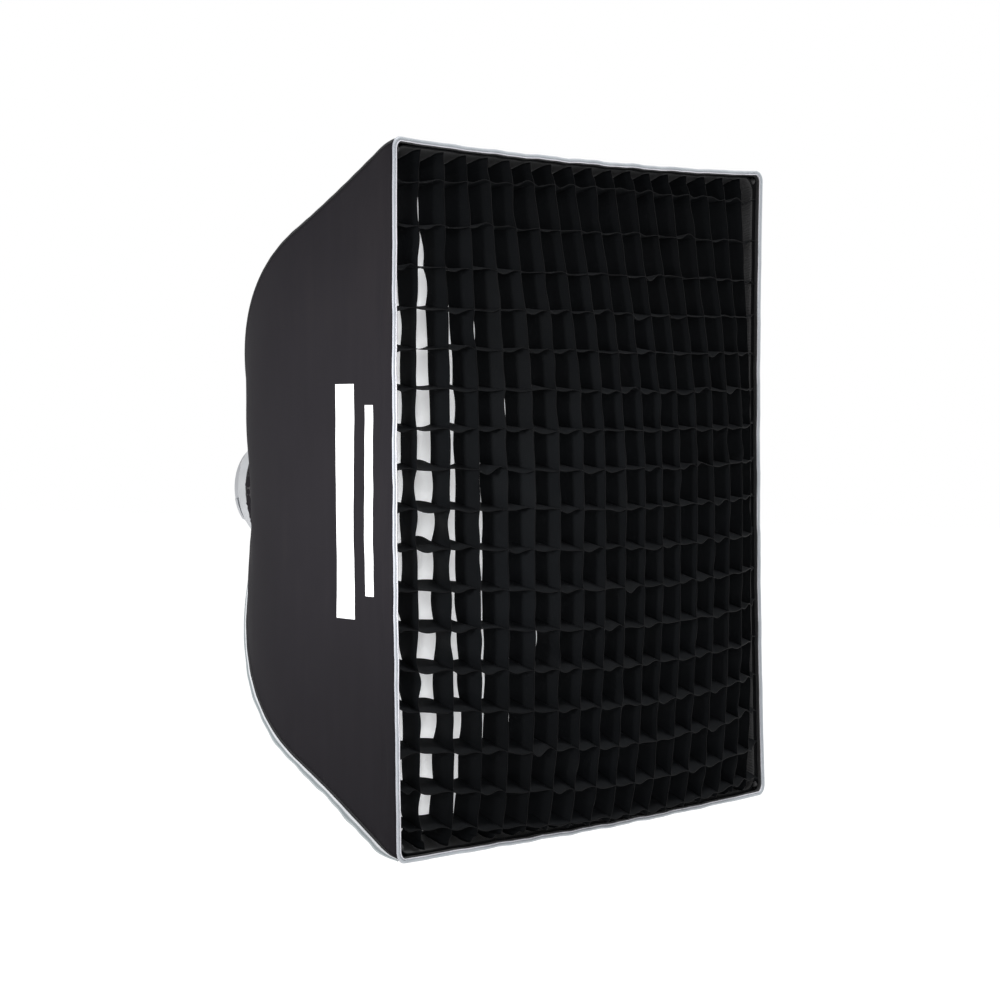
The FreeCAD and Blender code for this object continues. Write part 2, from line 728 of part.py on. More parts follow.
def make_baffle():
    hem_inside = "baffle_half - hem_width"
    flat_sheet("baffle_panel", "baffle_depth - baffle_cloth / 2", hem_inside,
               "baffle_corner - hem_width", "baffle_cloth")
    flat_sheet("baffle_hem", "baffle_depth - hem_cloth / 2", "baffle_half",
               "baffle_corner", "hem_cloth", hole="hem_width")
    strap_front = "baffle_depth - strap_cloth / 2"
    corner_strip("baffle_straps", "strap_start", "strap_end", strap_front, "strap_cloth")
    corner_button("baffle_snap_caps", f"{strap_front} - snap_height")
    tab_front = f"{strap_front} + strap_cloth + tab_setback"
    corner_strip("baffle_tabs", "tab_start", "tab_end", tab_front, "strap_cloth")
    corner_button("baffle_snap_studs", f"{tab_front} - snap_height")


# ---------------------------------------------------------------- the whole softbox

def make_softbox():
    for name, turn in SIDES.items():
        make_panel(name, turn)
        make_tape(f"grid_loop_tape_{name}", turn, "grid_tape_front", "grid_tape_back")
        make_tape(f"diffuser_loop_tape_{name}", turn, "diffuser_tape_front", "diffuser_tape_back")
    for name, turn in CORNERS.items():
        make_corner_piping(name, turn)
        make_rod(name, turn)
        make_rod_cap(name, turn)
        make_rod_pocket(name, turn)
    make_rim_piping()
    make_collar()
    make_speed_ring()
    make_adapter()
    make_clips()
    make_clip_screws()
    make_lock_screw()
    make_lock_knob()
    make_frame("grid_border", "border_front", "border_back")
    make_grid_strips("grid_upright_strips", "YZ_Plane", "X_Axis", slot_from_back=True)
    make_grid_strips("grid_cross_strips", "XY_Plane", "Z_Axis", slot_from_back=False)
    diffuser_hem = "diffuser_front + diffuser_cloth"
    flat_sheet("front_diffuser", "diffuser_front", half_at(diffuser_hem, "frame_gap"),
               "frame_corner", "diffuser_cloth")
    make_frame("diffuser_border", diffuser_hem, "diffuser_back")
    make_baffle()


def check_and_export():
    doc.recompute()
    for item in doc.Objects:
        if {"Invalid", "Error"} & set(item.State):
            raise RuntimeError(f"{item.Label} did not compute: {item.State}")
    for node in nodes:
        if node.Shape.isNull() or not node.Shape.isValid() or not node.Shape.Solids:
            raise RuntimeError(f"{node.Label} has no sound shape")
    os.makedirs("parts", exist_ok=True)
    for node in nodes:
        node.Shape.exportStep(f"parts/{node.Label}.step")
        print(f"{node.Label}: {len(node.Shape.Solids)} solids, {node.Shape.Volume:.0f} mm3")


fill_sheet()
make_softbox()
check_and_export()
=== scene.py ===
import math

import bpy
import numpy as np
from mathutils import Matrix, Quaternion, Vector


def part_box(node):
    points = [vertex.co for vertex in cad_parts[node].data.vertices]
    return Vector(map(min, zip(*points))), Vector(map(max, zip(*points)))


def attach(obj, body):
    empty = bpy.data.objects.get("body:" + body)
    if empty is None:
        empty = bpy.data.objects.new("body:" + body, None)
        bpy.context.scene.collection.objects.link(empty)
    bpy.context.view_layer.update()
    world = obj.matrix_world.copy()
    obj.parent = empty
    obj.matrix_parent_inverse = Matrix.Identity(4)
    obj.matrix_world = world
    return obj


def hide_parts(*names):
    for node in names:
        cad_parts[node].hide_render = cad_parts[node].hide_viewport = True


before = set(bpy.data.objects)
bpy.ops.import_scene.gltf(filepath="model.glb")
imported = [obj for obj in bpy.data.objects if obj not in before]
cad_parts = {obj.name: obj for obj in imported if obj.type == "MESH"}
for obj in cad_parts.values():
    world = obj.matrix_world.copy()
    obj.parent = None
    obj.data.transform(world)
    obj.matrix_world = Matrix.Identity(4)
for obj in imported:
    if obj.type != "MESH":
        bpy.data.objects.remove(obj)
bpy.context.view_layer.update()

# ---------------------------------------------------------------- driving dimensions, metres

RIM_LOW, RIM_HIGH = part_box("front_rim_piping")
FRONT = RIM_LOW.y
HALF = RIM_HIGH.x
COLLAR_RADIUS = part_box("neck_collar")[1].x
STRIP_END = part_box("grid_upright_strips")[1].z
DIFFUSER_LOW, DIFFUSER_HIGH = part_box("front_diffuser")
BAFFLE_LOW, BAFFLE_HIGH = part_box("baffle_panel")

BEND = (0.391, 0.286)        # depth and half width where the two straight runs of a side meet
BEND_RADIUS = 0.540
NECK = (0.531, 0.069)        # depth and half width where the cloth ends at the ring
ROD_INSET = 0.009            # from a corner seam to the middle of its rod
CLOTH = 0.0011
STRIP_COUNT = 17             # each way
STRIP_PITCH = 0.049
STRIP_DEPTH = 0.040
BELLY = 0.053                # how far the middle of the grid swells out
GRID_SEAT = 0.003            # front edge of the strips at the border
FIRST_STRIP = -(STRIP_COUNT - 1) / 2 * STRIP_PITCH
HEM_SHARE = 0.05             # how much of a strip's depth is its front hem
LEAN = 0.0205                # how far the back edge of the first strips is pulled over
BORDER_GAP = 0.0036          # between the cloth and the frames of tape inside it
BORDER_WALL = 0.0015
BORDER_RADIUS = 0.024        # corners of both frames: too small to clear the rod pockets and caps
FACING_END = 0.080           # how far back the black facing inside the front reaches
CORNER_PULL = 0.0045         # how far the rod tips pull the front corners out
SAG_X = {"right": 0.0095, "left": 0.0090}    # how far the front edges hang inwards
SAG_Z = {"top": 0.0035, "bottom": 0.0110}    # how far the front edges hang down
SEAM_INSET = 0.0012          # how far short of its corner a side stops
SEAM_TUCK = 0.0030           # how far the seams turn in halfway back
CORNER_TUCK = 0.0042         # how far the seams turn in behind the rounded corners of the rim
NECK_PUFF = 0.0040           # how far the cloth stands off the ring at the neck
DIFFUSER_SETBACK = 0.0020    # from the diffuser's front in the CAD to the edge of its sheet
DIFFUSER_PAINTED_LIGHT = 0.29         # painted light: the cloth glows with no lamp behind it, which brings the gaps of the grid to the right brightness

SIDES = {
    "top": (Vector((1, 0, 0)), Vector((0, 0, 1))),
    "right": (Vector((0, 0, -1)), Vector((1, 0, 0))),
    "bottom": (Vector((-1, 0, 0)), Vector((0, 0, -1))),
    "left": (Vector((0, 0, 1)), Vector((-1, 0, 0))),
}
CORNERS = {"top_right": (1, 1), "bottom_right": (1, -1), "bottom_left": (-1, -1), "top_left": (-1, 1)}


# ---------------------------------------------------------------- shape of the box

def side_half(depth):
    """Half width of the box at a depth behind the front edge: two straight runs and a bend."""
    slope = (BEND[1] - HALF) / BEND[0]
    slope_back = (NECK[1] - BEND[1]) / (NECK[0] - BEND[0])
    first, second = math.atan(-slope), math.atan(-slope_back)
    reach = BEND_RADIUS * math.tan((second - first) / 2)
    start = BEND[0] - reach * math.cos(first)
    end = BEND[0] + reach * math.cos(second)
    centre_depth = start - BEND_RADIUS * math.sin(first)
    centre_half = HALF + slope * start - BEND_RADIUS * math.cos(first)
    depth = np.asarray(depth, float)
    bent = centre_half + np.sqrt(np.maximum(BEND_RADIUS ** 2 - (depth - centre_depth) ** 2, 0))
    return np.where(depth < start, HALF + slope * depth,
                    np.where(depth > end, NECK[1] + slope_back * (depth - NECK[0]), bent))


def step(x, low, high):
    """Smooth step from 0 at low to 1 at high."""
    t = np.clip((np.asarray(x, float) - low) / (high - low), 0, 1)
    return t * t * (3 - 2 * t)


def bump(x, centre, width):
    """A smooth hill of height 1."""
    return np.exp(-((x - centre) / width) ** 2)


def drift(x, z, depth):
    """How far the front edge of the cloth hangs out of true, as added x and z."""
    fade = np.exp(-np.maximum(depth, 0) / 0.15)
    along_x = 1 - np.clip(x / HALF, -1, 1) ** 2
    along_z = 1 - np.clip(z / HALF, -1, 1) ** 2
    upper = np.clip(z / HALF, 0, 1) ** 2
    lower = np.clip(-z / HALF, 0, 1) ** 2
    beside = np.clip(np.abs(x) / HALF, 0, 1) ** 2
    ripple = 0.0006 * np.sin(z * 61 + 1.0) + 0.0004 * np.sin(z * 143)
    ripple_x = 0.0006 * np.sin(x * 57 + 2.0) + 0.0004 * np.sin(x * 131)
    move_x = -np.where(x > 0, SAG_X["right"], SAG_X["left"]) * along_z * beside + ripple * beside * along_z
    move_z = (-(SAG_Z["top"] * upper + SAG_Z["bottom"] * lower) * along_x
              + ripple_x * (upper + lower) * along_x)
    # The tips of the rods pull the corners outwards, most of all at the lower left
    tip = CORNER_PULL * (np.clip(np.abs(x * z) / HALF ** 2, 0, 1) ** 3)
    low_left = np.clip(-x / HALF, 0, 1) ** 2 * np.clip(-z / HALF, 0, 1) ** 2
    move_x = move_x + tip * np.where(x > 0, 0.4, 1.1) * np.sign(x)
    move_z = move_z + tip * np.sign(z) - 0.004 * low_left
    seam = np.clip(np.abs(x * z) / side_half(depth) ** 2, 0, 1) ** 3
    tuck = SEAM_TUCK * seam * bump(depth, 0.21, 0.13)
    tuck = tuck + CORNER_TUCK * seam ** 7 * np.exp(-(depth / 0.016) ** 2) * (depth > 0.0045)
    return move_x * fade - np.sign(x) * tuck, move_z * fade - np.sign(z) * tuck


def drifted(x, y, z, depth):
    """Points in space that hang out of true with the cloth at a depth."""
    move_x, move_z = drift(x, z, depth)
    return np.stack([x + move_x, y, z + move_z], -1)


def waves(u, v, seed, count=5, low=3.0, high=11.0):
    """A smooth seeded wander between about -1 and 1."""
    rng = np.random.default_rng(seed)
    total = np.zeros(np.broadcast(u, v).shape)
    for _ in range(count):
        a, b = rng.uniform(low, high, 2) * rng.choice((-1, 1), 2)
        total = total + np.sin(a * u + b * v + rng.uniform(0, 6.3)) / count ** 0.5
    return total * 0.8


def side_points(side, u, depth, out=0.0):
    """Points of a side: u from -1 to 1 between its seams, out along the side's outward normal."""
    along, outward = SIDES[side]
    half = side_half(depth)
    ahead = side_half(depth + 0.002)
    lean = np.arctan((half - ahead) / 0.002)
    reach = half - SEAM_INSET
    beyond = COLLAR_RADIUS + NECK_PUFF - half
    round_neck = 0.5 * (beyond + np.sqrt(beyond ** 2 + 0.004 ** 2))
    crown = np.where(depth > 0.40, round_neck * (1 - u ** 2), 0)
    seed = 11 + list(SIDES).index(side)
    middle = np.sin(np.pi * np.clip((depth - 0.10) / 0.36, 0, 1)) ** 1.5
    hollow = 0.007 * (1 - u ** 2) ** 1.5 * middle
    hollow = hollow + 0.0085 * np.exp(-((u + 0.15) / 0.40) ** 2 - ((depth - 0.460) / 0.040) ** 2)
    soft = 0.0012 * waves(u * 1.1, depth * 3.2, seed) * (1 - u ** 2) * step(depth, 0.01, 0.12)
    near_front = np.exp(-np.abs(depth - 0.022) / 0.018)
    folds = 0.0016 * np.sin(depth * 330 + 1.2 * waves(u * 2, depth, seed + 9)) * near_front
    folds = folds * (1 - u ** 4) * (0.4 + 0.6 * np.clip(waves(u * 1.5, depth, seed + 20), 0, 1))
    near_neck = np.exp(-np.maximum(NECK[0] - depth, 0) / 0.055)
    pleats = 0.0008 * np.sin(u * half * 300 + 3 * waves(u * 2, depth * 8, seed + 30)) * near_neck ** 2
    pleats = pleats * (1 - u ** 2) + 0.0013 * waves(u * 1.6, depth * 7, seed + 40) * near_neck * (1 - u ** 2)
    pocket = 0.0022 * np.exp(-((np.abs(u) - 0.972) / 0.022) ** 2) * np.exp(-((depth - 0.030) / 0.018) ** 4)
    height = out + crown + soft + folds + pleats + pocket - hollow
    tangent_shift = height * np.sin(lean)
    across = u * reach
    level = half + height * np.cos(lean)
    x = along.x * across + outward.x * level
    z = along.z * across + outward.z * level
    return drifted(x, FRONT + depth + tangent_shift, z, depth)


def seam_point(corner, depth):
    sx, sz = CORNERS[corner]
    half = side_half(depth)
    return np.stack([sx * half, FRONT + depth, sz * half], axis=-1)


# ---------------------------------------------------------------- mesh helpers

def make_mesh(name, points, faces, uvs=None, slots=None):
    mesh = bpy.data.meshes.new(name)
    mesh.from_pydata([tuple(p) for p in points], [], faces)
    mesh.validate()
    if uvs is not None:
        layer = mesh.uv_layers.new(name="cloth")
        index = np.zeros(len(mesh.loops), int)
        mesh.loops.foreach_get("vertex_index", index)
        layer.data.foreach_set("uv", np.asarray(uvs, float)[index].reshape(-1))
    mesh.polygons.foreach_set("use_smooth", [True] * len(mesh.polygons))
    if slots is not None:
        mesh.polygons.foreach_set("material_index", slots)
    piece = bpy.data.objects.new(name, mesh)
    bpy.context.scene.collection.objects.link(piece)
    return piece


def net_faces(rows, columns, start=0, wrap_rows=False, wrap_columns=False):
    faces = []
    for r in range(rows if wrap_rows else rows - 1):
        row, next_row = start + r * columns, start + (r + 1) % rows * columns
        for c in range(columns if wrap_columns else columns - 1):
            after = (c + 1) % columns
            faces.append((row + c, row + after, next_row + after, next_row + c))
    return faces


def net(name, points, uvs=None, wrap_rows=False, wrap_columns=False):
    """A smooth mesh over an array of points of rows by columns."""
    rows, columns = points.shape[:2]
    faces = net_faces(rows, columns, 0, wrap_rows, wrap_columns)
    flat_uvs = None if uvs is None else np.asarray(uvs).reshape(-1, 2)
    return make_mesh(name, points.reshape(-1, 3), faces, flat_uvs)


def run_lengths(points):
    steps = np.linalg.norm(np.diff(points, axis=0), axis=1)
    return np.concatenate([[0], np.cumsum(steps)])


def sweep(name, path, side_a, side_b, profile, closed=False, round_part=None):
    """A closed profile carried along a path. side_a and side_b are its axes at each point."""
    profile = np.asarray(profile, float)
    if profile.ndim == 2:
        profile = np.broadcast_to(profile, (len(path), *profile.shape))
    count, size = profile.shape[:2]
    points = (path[:, None, :] + profile[..., :1] * side_a[:, None, :]
              + profile[..., 1:] * side_b[:, None, :])
    lengths = run_lengths(path)
    if round_part is None:
        round_part = np.linspace(0, 1, size, endpoint=False)
    uvs = np.stack(np.broadcast_arrays(round_part[None, :], lengths[:, None]), -1)
    faces = net_faces(count, size, 0, wrap_rows=closed, wrap_columns=True)
    if not closed:
        faces.append(tuple(range(size - 1, -1, -1)))
        faces.append(tuple((count - 1) * size + k for k in range(size)))
    return make_mesh(name, points.reshape(-1, 3), faces, uvs.reshape(-1, 2))


def oval(wide, thick, count=16, power=2.4):
    angles = np.linspace(0, 2 * math.pi, count, endpoint=False)
    c, s = np.cos(angles), np.sin(angles)
    return np.stack([wide * np.sign(c) * np.abs(c) ** (2 / power),
                     thick * np.sign(s) * np.abs(s) ** (2 / power)], -1)


def unit(v):
    return v / np.maximum(np.linalg.norm(v, axis=-1, keepdims=True), 1e-12)


def outwards(normal):
    """Normals of a path in x and z as directions in space."""
    return np.stack([normal[:, 0], np.zeros(len(normal)), normal[:, 1]], -1)


def backward(path):
    """The axis that points to the back of the box, once for each point of a path."""
    return np.broadcast_to(np.array([0.0, 1.0, 0.0]), path.shape)


def thicken(piece, thickness, offset=-1.0, lining=None):
    solid = piece.modifiers.new("cloth thickness", "SOLIDIFY")
    solid.thickness = thickness
    solid.offset = offset
    solid.use_even_offset = True
    if lining is not None:
        solid.material_offset = lining
        solid.material_offset_rim = 0


# ---------------------------------------------------------------- materials

class Nodes:
    """Short hand for building one procedural material."""

    def __init__(self, name, colour, rough, metallic=0.0, **sockets):
        self.material = bpy.data.materials.new(name)
        self.material.use_nodes = True
        self.tree = self.material.node_tree
        self.shader = self.tree.nodes["Principled BSDF"]
        self.shader.inputs["Base Color"].default_value = (*colour, 1)
        self.shader.inputs["Roughness"].default_value = rough
        self.shader.inputs["Metallic"].default_value = metallic
        for key, value in sockets.items():
            self.shader.inputs[key.replace("_", " ")].default_value = value
        self.coordinates = self.tree.nodes.new("ShaderNodeTexCoord")
        self.height = None

    def node(self, kind, **settings):
        made = self.tree.nodes.new(kind)
        for key, value in settings.items():
            setattr(made, key, value)
        return made

    def link(self, source, target):
        self.tree.links.new(source, target)

    def place(self, kind="Object", scale=(1, 1, 1)):
        mapping = self.node("ShaderNodeMapping")
        mapping.inputs["Scale"].default_value = scale
        self.link(self.coordinates.outputs[kind], mapping.inputs["Vector"])
        return mapping.outputs["Vector"]

    def noise(self, vector, scale, detail=3.0, rough=0.55):
        made = self.node("ShaderNodeTexNoise")
        made.inputs["Scale"].default_value = scale
        made.inputs["Detail"].default_value = detail
        made.inputs["Roughness"].default_value = rough
        self.link(vector, made.inputs["Vector"])
        return made.outputs["Fac"]

    def bands(self, vector, pitch, direction, distortion):
        made = self.node("ShaderNodeTexWave", wave_type="BANDS", bands_direction=direction)
        made.inputs["Scale"].default_value = 1 / pitch / (2 * math.pi)
        made.inputs["Distortion"].default_value = distortion
        self.link(vector, made.inputs["Vector"])
        return made.outputs["Fac"]

    def weave(self, thread, distortion):
        """Two crossed sets of threads."""
        vector = self.place("UV")
        return self.maths("MAXIMUM", self.bands(vector, thread, "X", distortion),
                          self.bands(vector, thread, "Y", distortion))

    def maths(self, operation, a, b):
        made = self.node("ShaderNodeMath", operation=operation)
        for value, socket in zip((a, b), made.inputs):
            if isinstance(value, (int, float)):
                socket.default_value = value
            else:
                self.link(value, socket)
        return made.outputs[0]

    def ramp(self, factor, stops):
        made = self.node("ShaderNodeValToRGB")
        elements = made.color_ramp.elements
        while len(elements) < len(stops):
            elements.new(0.5)
        for element, (place, colour) in zip(elements, stops):
            element.position = place
            element.color = (*colour, 1)
        self.link(factor, made.inputs["Fac"])
        return made.outputs["Color"]

    def colour(self, socket):
        self.link(socket, self.shader.inputs["Base Color"])

    def vary(self, factor, low, high):
        self.colour(self.ramp(factor, [(0.3, low), (0.7, high)]))

    def roughness(self, factor, low, high):
        made = self.node("ShaderNodeMapRange")
        made.inputs["To Min"].default_value = low
        made.inputs["To Max"].default_value = high
        self.link(factor, made.inputs["Value"])
        self.link(made.outputs["Result"], self.shader.inputs["Roughness"])

    def glow(self, strength):
        self.shader.inputs["Emission Color"].default_value = (1, 1, 1, 1)
        self.shader.inputs["Emission Strength"].default_value = strength

    def bump(self, factor, distance, strength=1.0):
        made = self.node("ShaderNodeBump")
        made.inputs["Strength"].default_value = strength
        made.inputs["Distance"].default_value = distance
        self.link(factor, made.inputs["Height"])
        if self.height is not None:
            self.link(self.height, made.inputs["Normal"])
        self.height = made.outputs["Normal"]
        self.link(self.height, self.shader.inputs["Normal"])


def scaled(colour, amount):
    return tuple(min(1.0, c * amount) for c in colour)


def woven(name, colour, rough=0.7, thread=0.0013, depth=0.00012, vary=0.12, **sockets):
    """Plain weave: two sets of threads, slow colour changes and a little lint."""
    made = Nodes(name, colour, rough, **sockets)
    weave = made.weave(thread, 0.4)
    body = made.place("Object")
    slow = made.noise(body, 6.0)
    lint = made.noise(body, 900.0, 2.0)
    mixed = made.maths("ADD", made.maths("MULTIPLY", slow, 0.7), made.maths("MULTIPLY", lint, 0.3))
    made.vary(mixed, scaled(colour, 1 - vary), scaled(colour, 1 + vary))
    made.roughness(slow, rough - 0.06, rough + 0.06)
    made.bump(weave, depth, 0.6)
    made.bump(lint, depth * 0.6, 0.5)
    return made.material


def ribbed(name, colour, rib=0.0016, depth=0.0003, rough=0.75, direction="Y"):
    """Tape or webbing with cross ribs and a little fuzz."""
    made = Nodes(name, colour, rough)
    ribs = made.bands(made.place("UV"), rib, direction, 0.3)
    body = made.place("Object")
    fuzz = made.noise(body, 1400.0, 2.0)
    slow = made.noise(body, 14.0)
    made.vary(made.maths("ADD", made.maths("MULTIPLY", slow, 0.5), made.maths("MULTIPLY", ribs, 0.5)),
              scaled(colour, 0.75), scaled(colour, 1.3))
    made.bump(ribs, depth, 0.8)
    made.bump(fuzz, depth * 0.5, 0.6)
    return made.material


def metal(name, colour, rough, metallic=1.0, brush=(1, 1, 60), wear=0.25):
    made = Nodes(name, colour, rough, metallic)
    streaks = made.noise(made.place("Object", brush), 40.0, 4.0)
    slow = made.noise(made.place("Object"), 30.0)
    made.vary(slow, scaled(colour, 1 - wear * 0.5), scaled(colour, 1 + wear * 0.3))
    made.roughness(streaks, max(rough - 0.12, 0.05), rough + 0.12)
    made.bump(streaks, 0.00004, 0.4)
    return made.material


def plastic(name, colour, rough=0.45):
    made = Nodes(name, colour, rough)
    grain = made.noise(made.place("Object"), 1500.0, 2.0)
    slow = made.noise(made.place("Object"), 40.0)
    made.vary(slow, scaled(colour, 0.85), scaled(colour, 1.2))
    made.roughness(slow, rough - 0.08, rough + 0.1)
    made.bump(grain, 0.00006, 0.5)
    return made.material


def panel_cloth(name):
    """Coated black polyester: fine weave, a soft sheen and handling marks."""
    colour = (0.0134, 0.0123, 0.0145)
    made = Nodes(name, colour, 0.66, Specular_IOR_Level=0.01)
    made.shader.inputs["Sheen Weight"].default_value = 0.008
    made.shader.inputs["Sheen Roughness"].default_value = 0.5
    weave = made.weave(0.0011, 0.3)
    body = made.place("Object")
    slow = made.noise(body, 3.0, 4.0)
    streaks = made.noise(made.place("UV", (2.5, 26, 1)), 2.0, 5.0)
    mixed = made.maths("ADD", made.maths("MULTIPLY", slow, 0.6), made.maths("MULTIPLY", streaks, 0.4))
    made.colour(made.ramp(mixed, [(0.30, scaled(colour, 0.82)), (0.52, colour),
                                  (0.72, (0.0167, 0.0151, 0.0170))]))
    made.roughness(streaks, 0.58, 0.76)
    made.bump(streaks, 0.0004, 0.2)
    made.bump(weave, 0.00009, 0.45)
    return made.material


def silver_lining(name):
    """Silver side of the cloth: crinkled reflective coating."""
    colour = (0.62, 0.63, 0.65)
    made = Nodes(name, colour, 0.38, 0.55)
    body = made.place("Object")
    crinkle = made.noise(body, 55.0, 6.0, 0.62)
    weave = made.bands(made.place("UV"), 0.0016, "DIAGONAL", 0.5)
    made.vary(crinkle, scaled(colour, 0.85), scaled(colour, 1.12))
    made.roughness(crinkle, 0.28, 0.48)
    made.bump(crinkle, 0.0009, 0.5)
    made.bump(weave, 0.0001, 0.3)
    return made.material


def piping_cloth(name, shading_stops, rough=0.5):
    """Silver binding, coloured across its section by given stops that hold painted highlights and painted
    shade, with fine ribs along its run.
    """
    made = Nodes(name, shading_stops[0][1], rough, 0.12)
    split = made.node("ShaderNodeSeparateXYZ")
    made.link(made.coordinates.outputs["UV"], split.inputs[0])
    along_run = made.noise(made.place("UV", (0, 30, 0)), 1.0)
    wander = made.maths("MULTIPLY", made.maths("SUBTRACT", along_run, 0.5), 0.05)
    round_part = made.maths("ADD", split.outputs["X"], wander)
    base = made.ramp(round_part, shading_stops)
    grime = made.noise(made.place("Object"), 35.0, 4.0)
    mix = made.node("ShaderNodeMix", data_type="RGBA", blend_type="MULTIPLY")
    mix.inputs["Factor"].default_value = 1.0
    made.link(base, mix.inputs[6])
    made.link(made.ramp(grime, [(0.3, (0.86, 0.87, 0.88)), (0.65, (1, 1, 1))]), mix.inputs[7])
    made.colour(mix.outputs[2])
    ribs = made.bands(made.place("UV"), 0.0018, "Y", 0.4)
    made.bump(ribs, 0.00025, 0.5)
    made.bump(made.noise(made.place("Object"), 160.0, 3.0), 0.0005, 0.4)
    return made.material


def diffuser_cloth(name, colour, glow):
    """Thin white diffusion cloth. Its glow is painted light: the cloth shines though no lamp sends light
    through it.
    """
    made = Nodes(name, colour, 0.65)
    made.glow(glow)
    weave = made.weave(0.0014, 0.3)
    slow = made.noise(made.place("Object"), 5.0, 4.0)
    made.vary(slow, scaled(colour, 0.95), scaled(colour, 1.03))
    made.bump(made.noise(made.place("Object", (1, 1, 0.35)), 14.0, 4.0), 0.004, 0.35)
    made.bump(weave, 0.0001, 0.4)
    return made.material


PANEL = panel_cloth("panel_cloth")
LINING = silver_lining("silver_lining")
FACING = woven("facing_cloth", (0.005, 0.005, 0.006), 0.8, 0.0013, 0.0001, 0.15,
               Specular_IOR_Level=0.10)
# Across the seam binding: a dark edge at the seam, then a band of painted highlight and a grey outer band of
# painted shade
SEAM_LIGHT_AND_SHADE = ((0.0, (0.01, 0.01, 0.01)), (0.10, (0.02, 0.02, 0.02)), (0.16, (0.60, 0.61, 0.63)),
          (0.36, (0.55, 0.56, 0.58)), (0.46, (0.22, 0.24, 0.25)), (0.72, (0.20, 0.23, 0.24)),
          (0.84, (0.36, 0.39, 0.40)), (1.0, (0.31, 0.34, 0.35)))
SEAM_PIPING = piping_cloth("seam_piping", SEAM_LIGHT_AND_SHADE)
# The front binding is one silver-white fabric painted as two copies: a greyer copy with painted shade round
# its section, and a lighter copy for the painted highlight line at its inner edge
RIM_SHADED = piping_cloth("rim_shaded_silver", (
    (0.0, (0.40, 0.40, 0.44)), (0.25, (0.28, 0.29, 0.32)), (0.5, (0.38, 0.39, 0.42)),
    (0.68, (0.25, 0.27, 0.29)), (0.82, (0.31, 0.33, 0.35)), (1.0, (0.40, 0.40, 0.44))))
RIM_HIGHLIGHT = piping_cloth("rim_highlight_white", ((0.0, (0.50, 0.495, 0.53)), (1.0, (0.47, 0.465, 0.50))))
THREAD_BLACK = ribbed("binding_black", (0.007, 0.007, 0.008), 0.0012, 0.0003, 0.8)
GRID_CLOTH = woven("grid_cloth", (0.0021, 0.0026, 0.0033), 0.75, 0.0012, 0.0001, 0.30,
                   Specular_IOR_Level=0.08)
GRID_HEM = woven("grid_hem", (0.0016, 0.0018, 0.0023), 0.6, 0.0010, 0.0001, 0.2,
                 Specular_IOR_Level=0.06)
TAPE_HOOK = ribbed("hook_tape", (0.026, 0.025, 0.028), 0.0022, 0.0006, 0.55)
TAPE_LOOP = ribbed("loop_tape", (0.008, 0.008, 0.009), 0.0009, 0.0004, 0.92)
BORDER_TAPE = ribbed("border_tape", (0.006, 0.006, 0.0068), 0.0020, 0.0004, 0.7)
ELASTIC = ribbed("elastic", (0.013, 0.013, 0.014), 0.0016, 0.0004, 0.7)
COLLAR_CLOTH = ribbed("collar_elastic", (0.017, 0.0155, 0.0175), 0.0024, 0.0005, 0.7, "X")
POCKET = woven("pocket_cloth", (0.012, 0.012, 0.013), 0.75, 0.0014, 0.0002, 0.15)
# the diffuser's glow is painted light
DIFFUSER = diffuser_cloth("diffuser_cloth", (0.87, 0.89, 0.91), DIFFUSER_PAINTED_LIGHT)
BAFFLE = diffuser_cloth("baffle_cloth", (0.80, 0.81, 0.81), 0.0)
BAFFLE_HEM = ribbed("baffle_hem", (0.70, 0.70, 0.70), 0.0018, 0.0004, 0.75)
PRINT = woven("white_print", (0.80, 0.80, 0.81), 0.45, 0.0011, 0.00006, 0.03)
RING = metal("ring_metal", (0.43, 0.44, 0.455), 0.42, 0.75, (1, 60, 1))
ADAPTER = metal("adapter_metal", (0.42, 0.43, 0.45), 0.34, 1.0, (1, 60, 1))
STEEL = metal("rod_steel", (0.50, 0.50, 0.51), 0.30, 1.0, (60, 60, 3))
CLIP = metal("clip_steel", (0.55, 0.55, 0.56), 0.32, 1.0, (60, 1, 1))
SCREW = metal("screw_steel", (0.40, 0.40, 0.41), 0.28, 1.0, (3, 60, 3))
SNAP = metal("snap_metal", (0.48, 0.47, 0.45), 0.25, 1.0, (1, 1, 1))
CAP = plastic("rod_cap", (0.020, 0.020, 0.021), 0.5)
KNOB = plastic("knob_plastic", (0.016, 0.016, 0.017), 0.42)

CAD_MATERIALS = {"speed_ring": RING, "lamp_adapter": ADAPTER, "adapter_clips": CLIP, "clip_screws": SCREW,
                 "lock_screw": SCREW, "lock_knob": KNOB, "baffle_snap_caps": SNAP,
                 "baffle_snap_studs": SNAP}


def finish_piece(piece, body, slot, materials, *nodes):
    for material in materials if isinstance(materials, (list, tuple)) else [materials]:
        piece.data.materials.append(material)
    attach(piece, body)
    if nodes:
        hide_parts(*nodes)
    return piece


# ---------------------------------------------------------------- cloth sides

def make_panel(side):
    start, across, down = 0.0068, 97, 121
    # Rows are closer together near the neck, where the cloth gathers
    share = np.linspace(0, 1, down)
    depth = start + (NECK[0] - 0.001 - start) * (1 - (1 - share) ** 1.35)
    u = np.linspace(-1, 1, across)
    grid_u, grid_depth = np.meshgrid(u, depth)
    points = side_points(side, grid_u, grid_depth)
    run = run_lengths(points[:, across // 2])
    width = side_half(grid_depth) * grid_u
    uvs = np.stack([width, np.broadcast_to(run[:, None], width.shape)], -1)
    panel = net(f"panel_{side}_cloth", points, uvs)
    facing = np.repeat(np.where(depth[1:] < FACING_END, 2, 0), across - 1)
    panel.data.polygons.foreach_set("material_index", facing.astype(np.int32))
    thicken(panel, CLOTH, -1.0, 1)
    finish_piece(panel, "box", "panel_cloth", [PANEL, LINING, PANEL, FACING], f"panel_{side}")


for side in SIDES:
    make_panel(side)


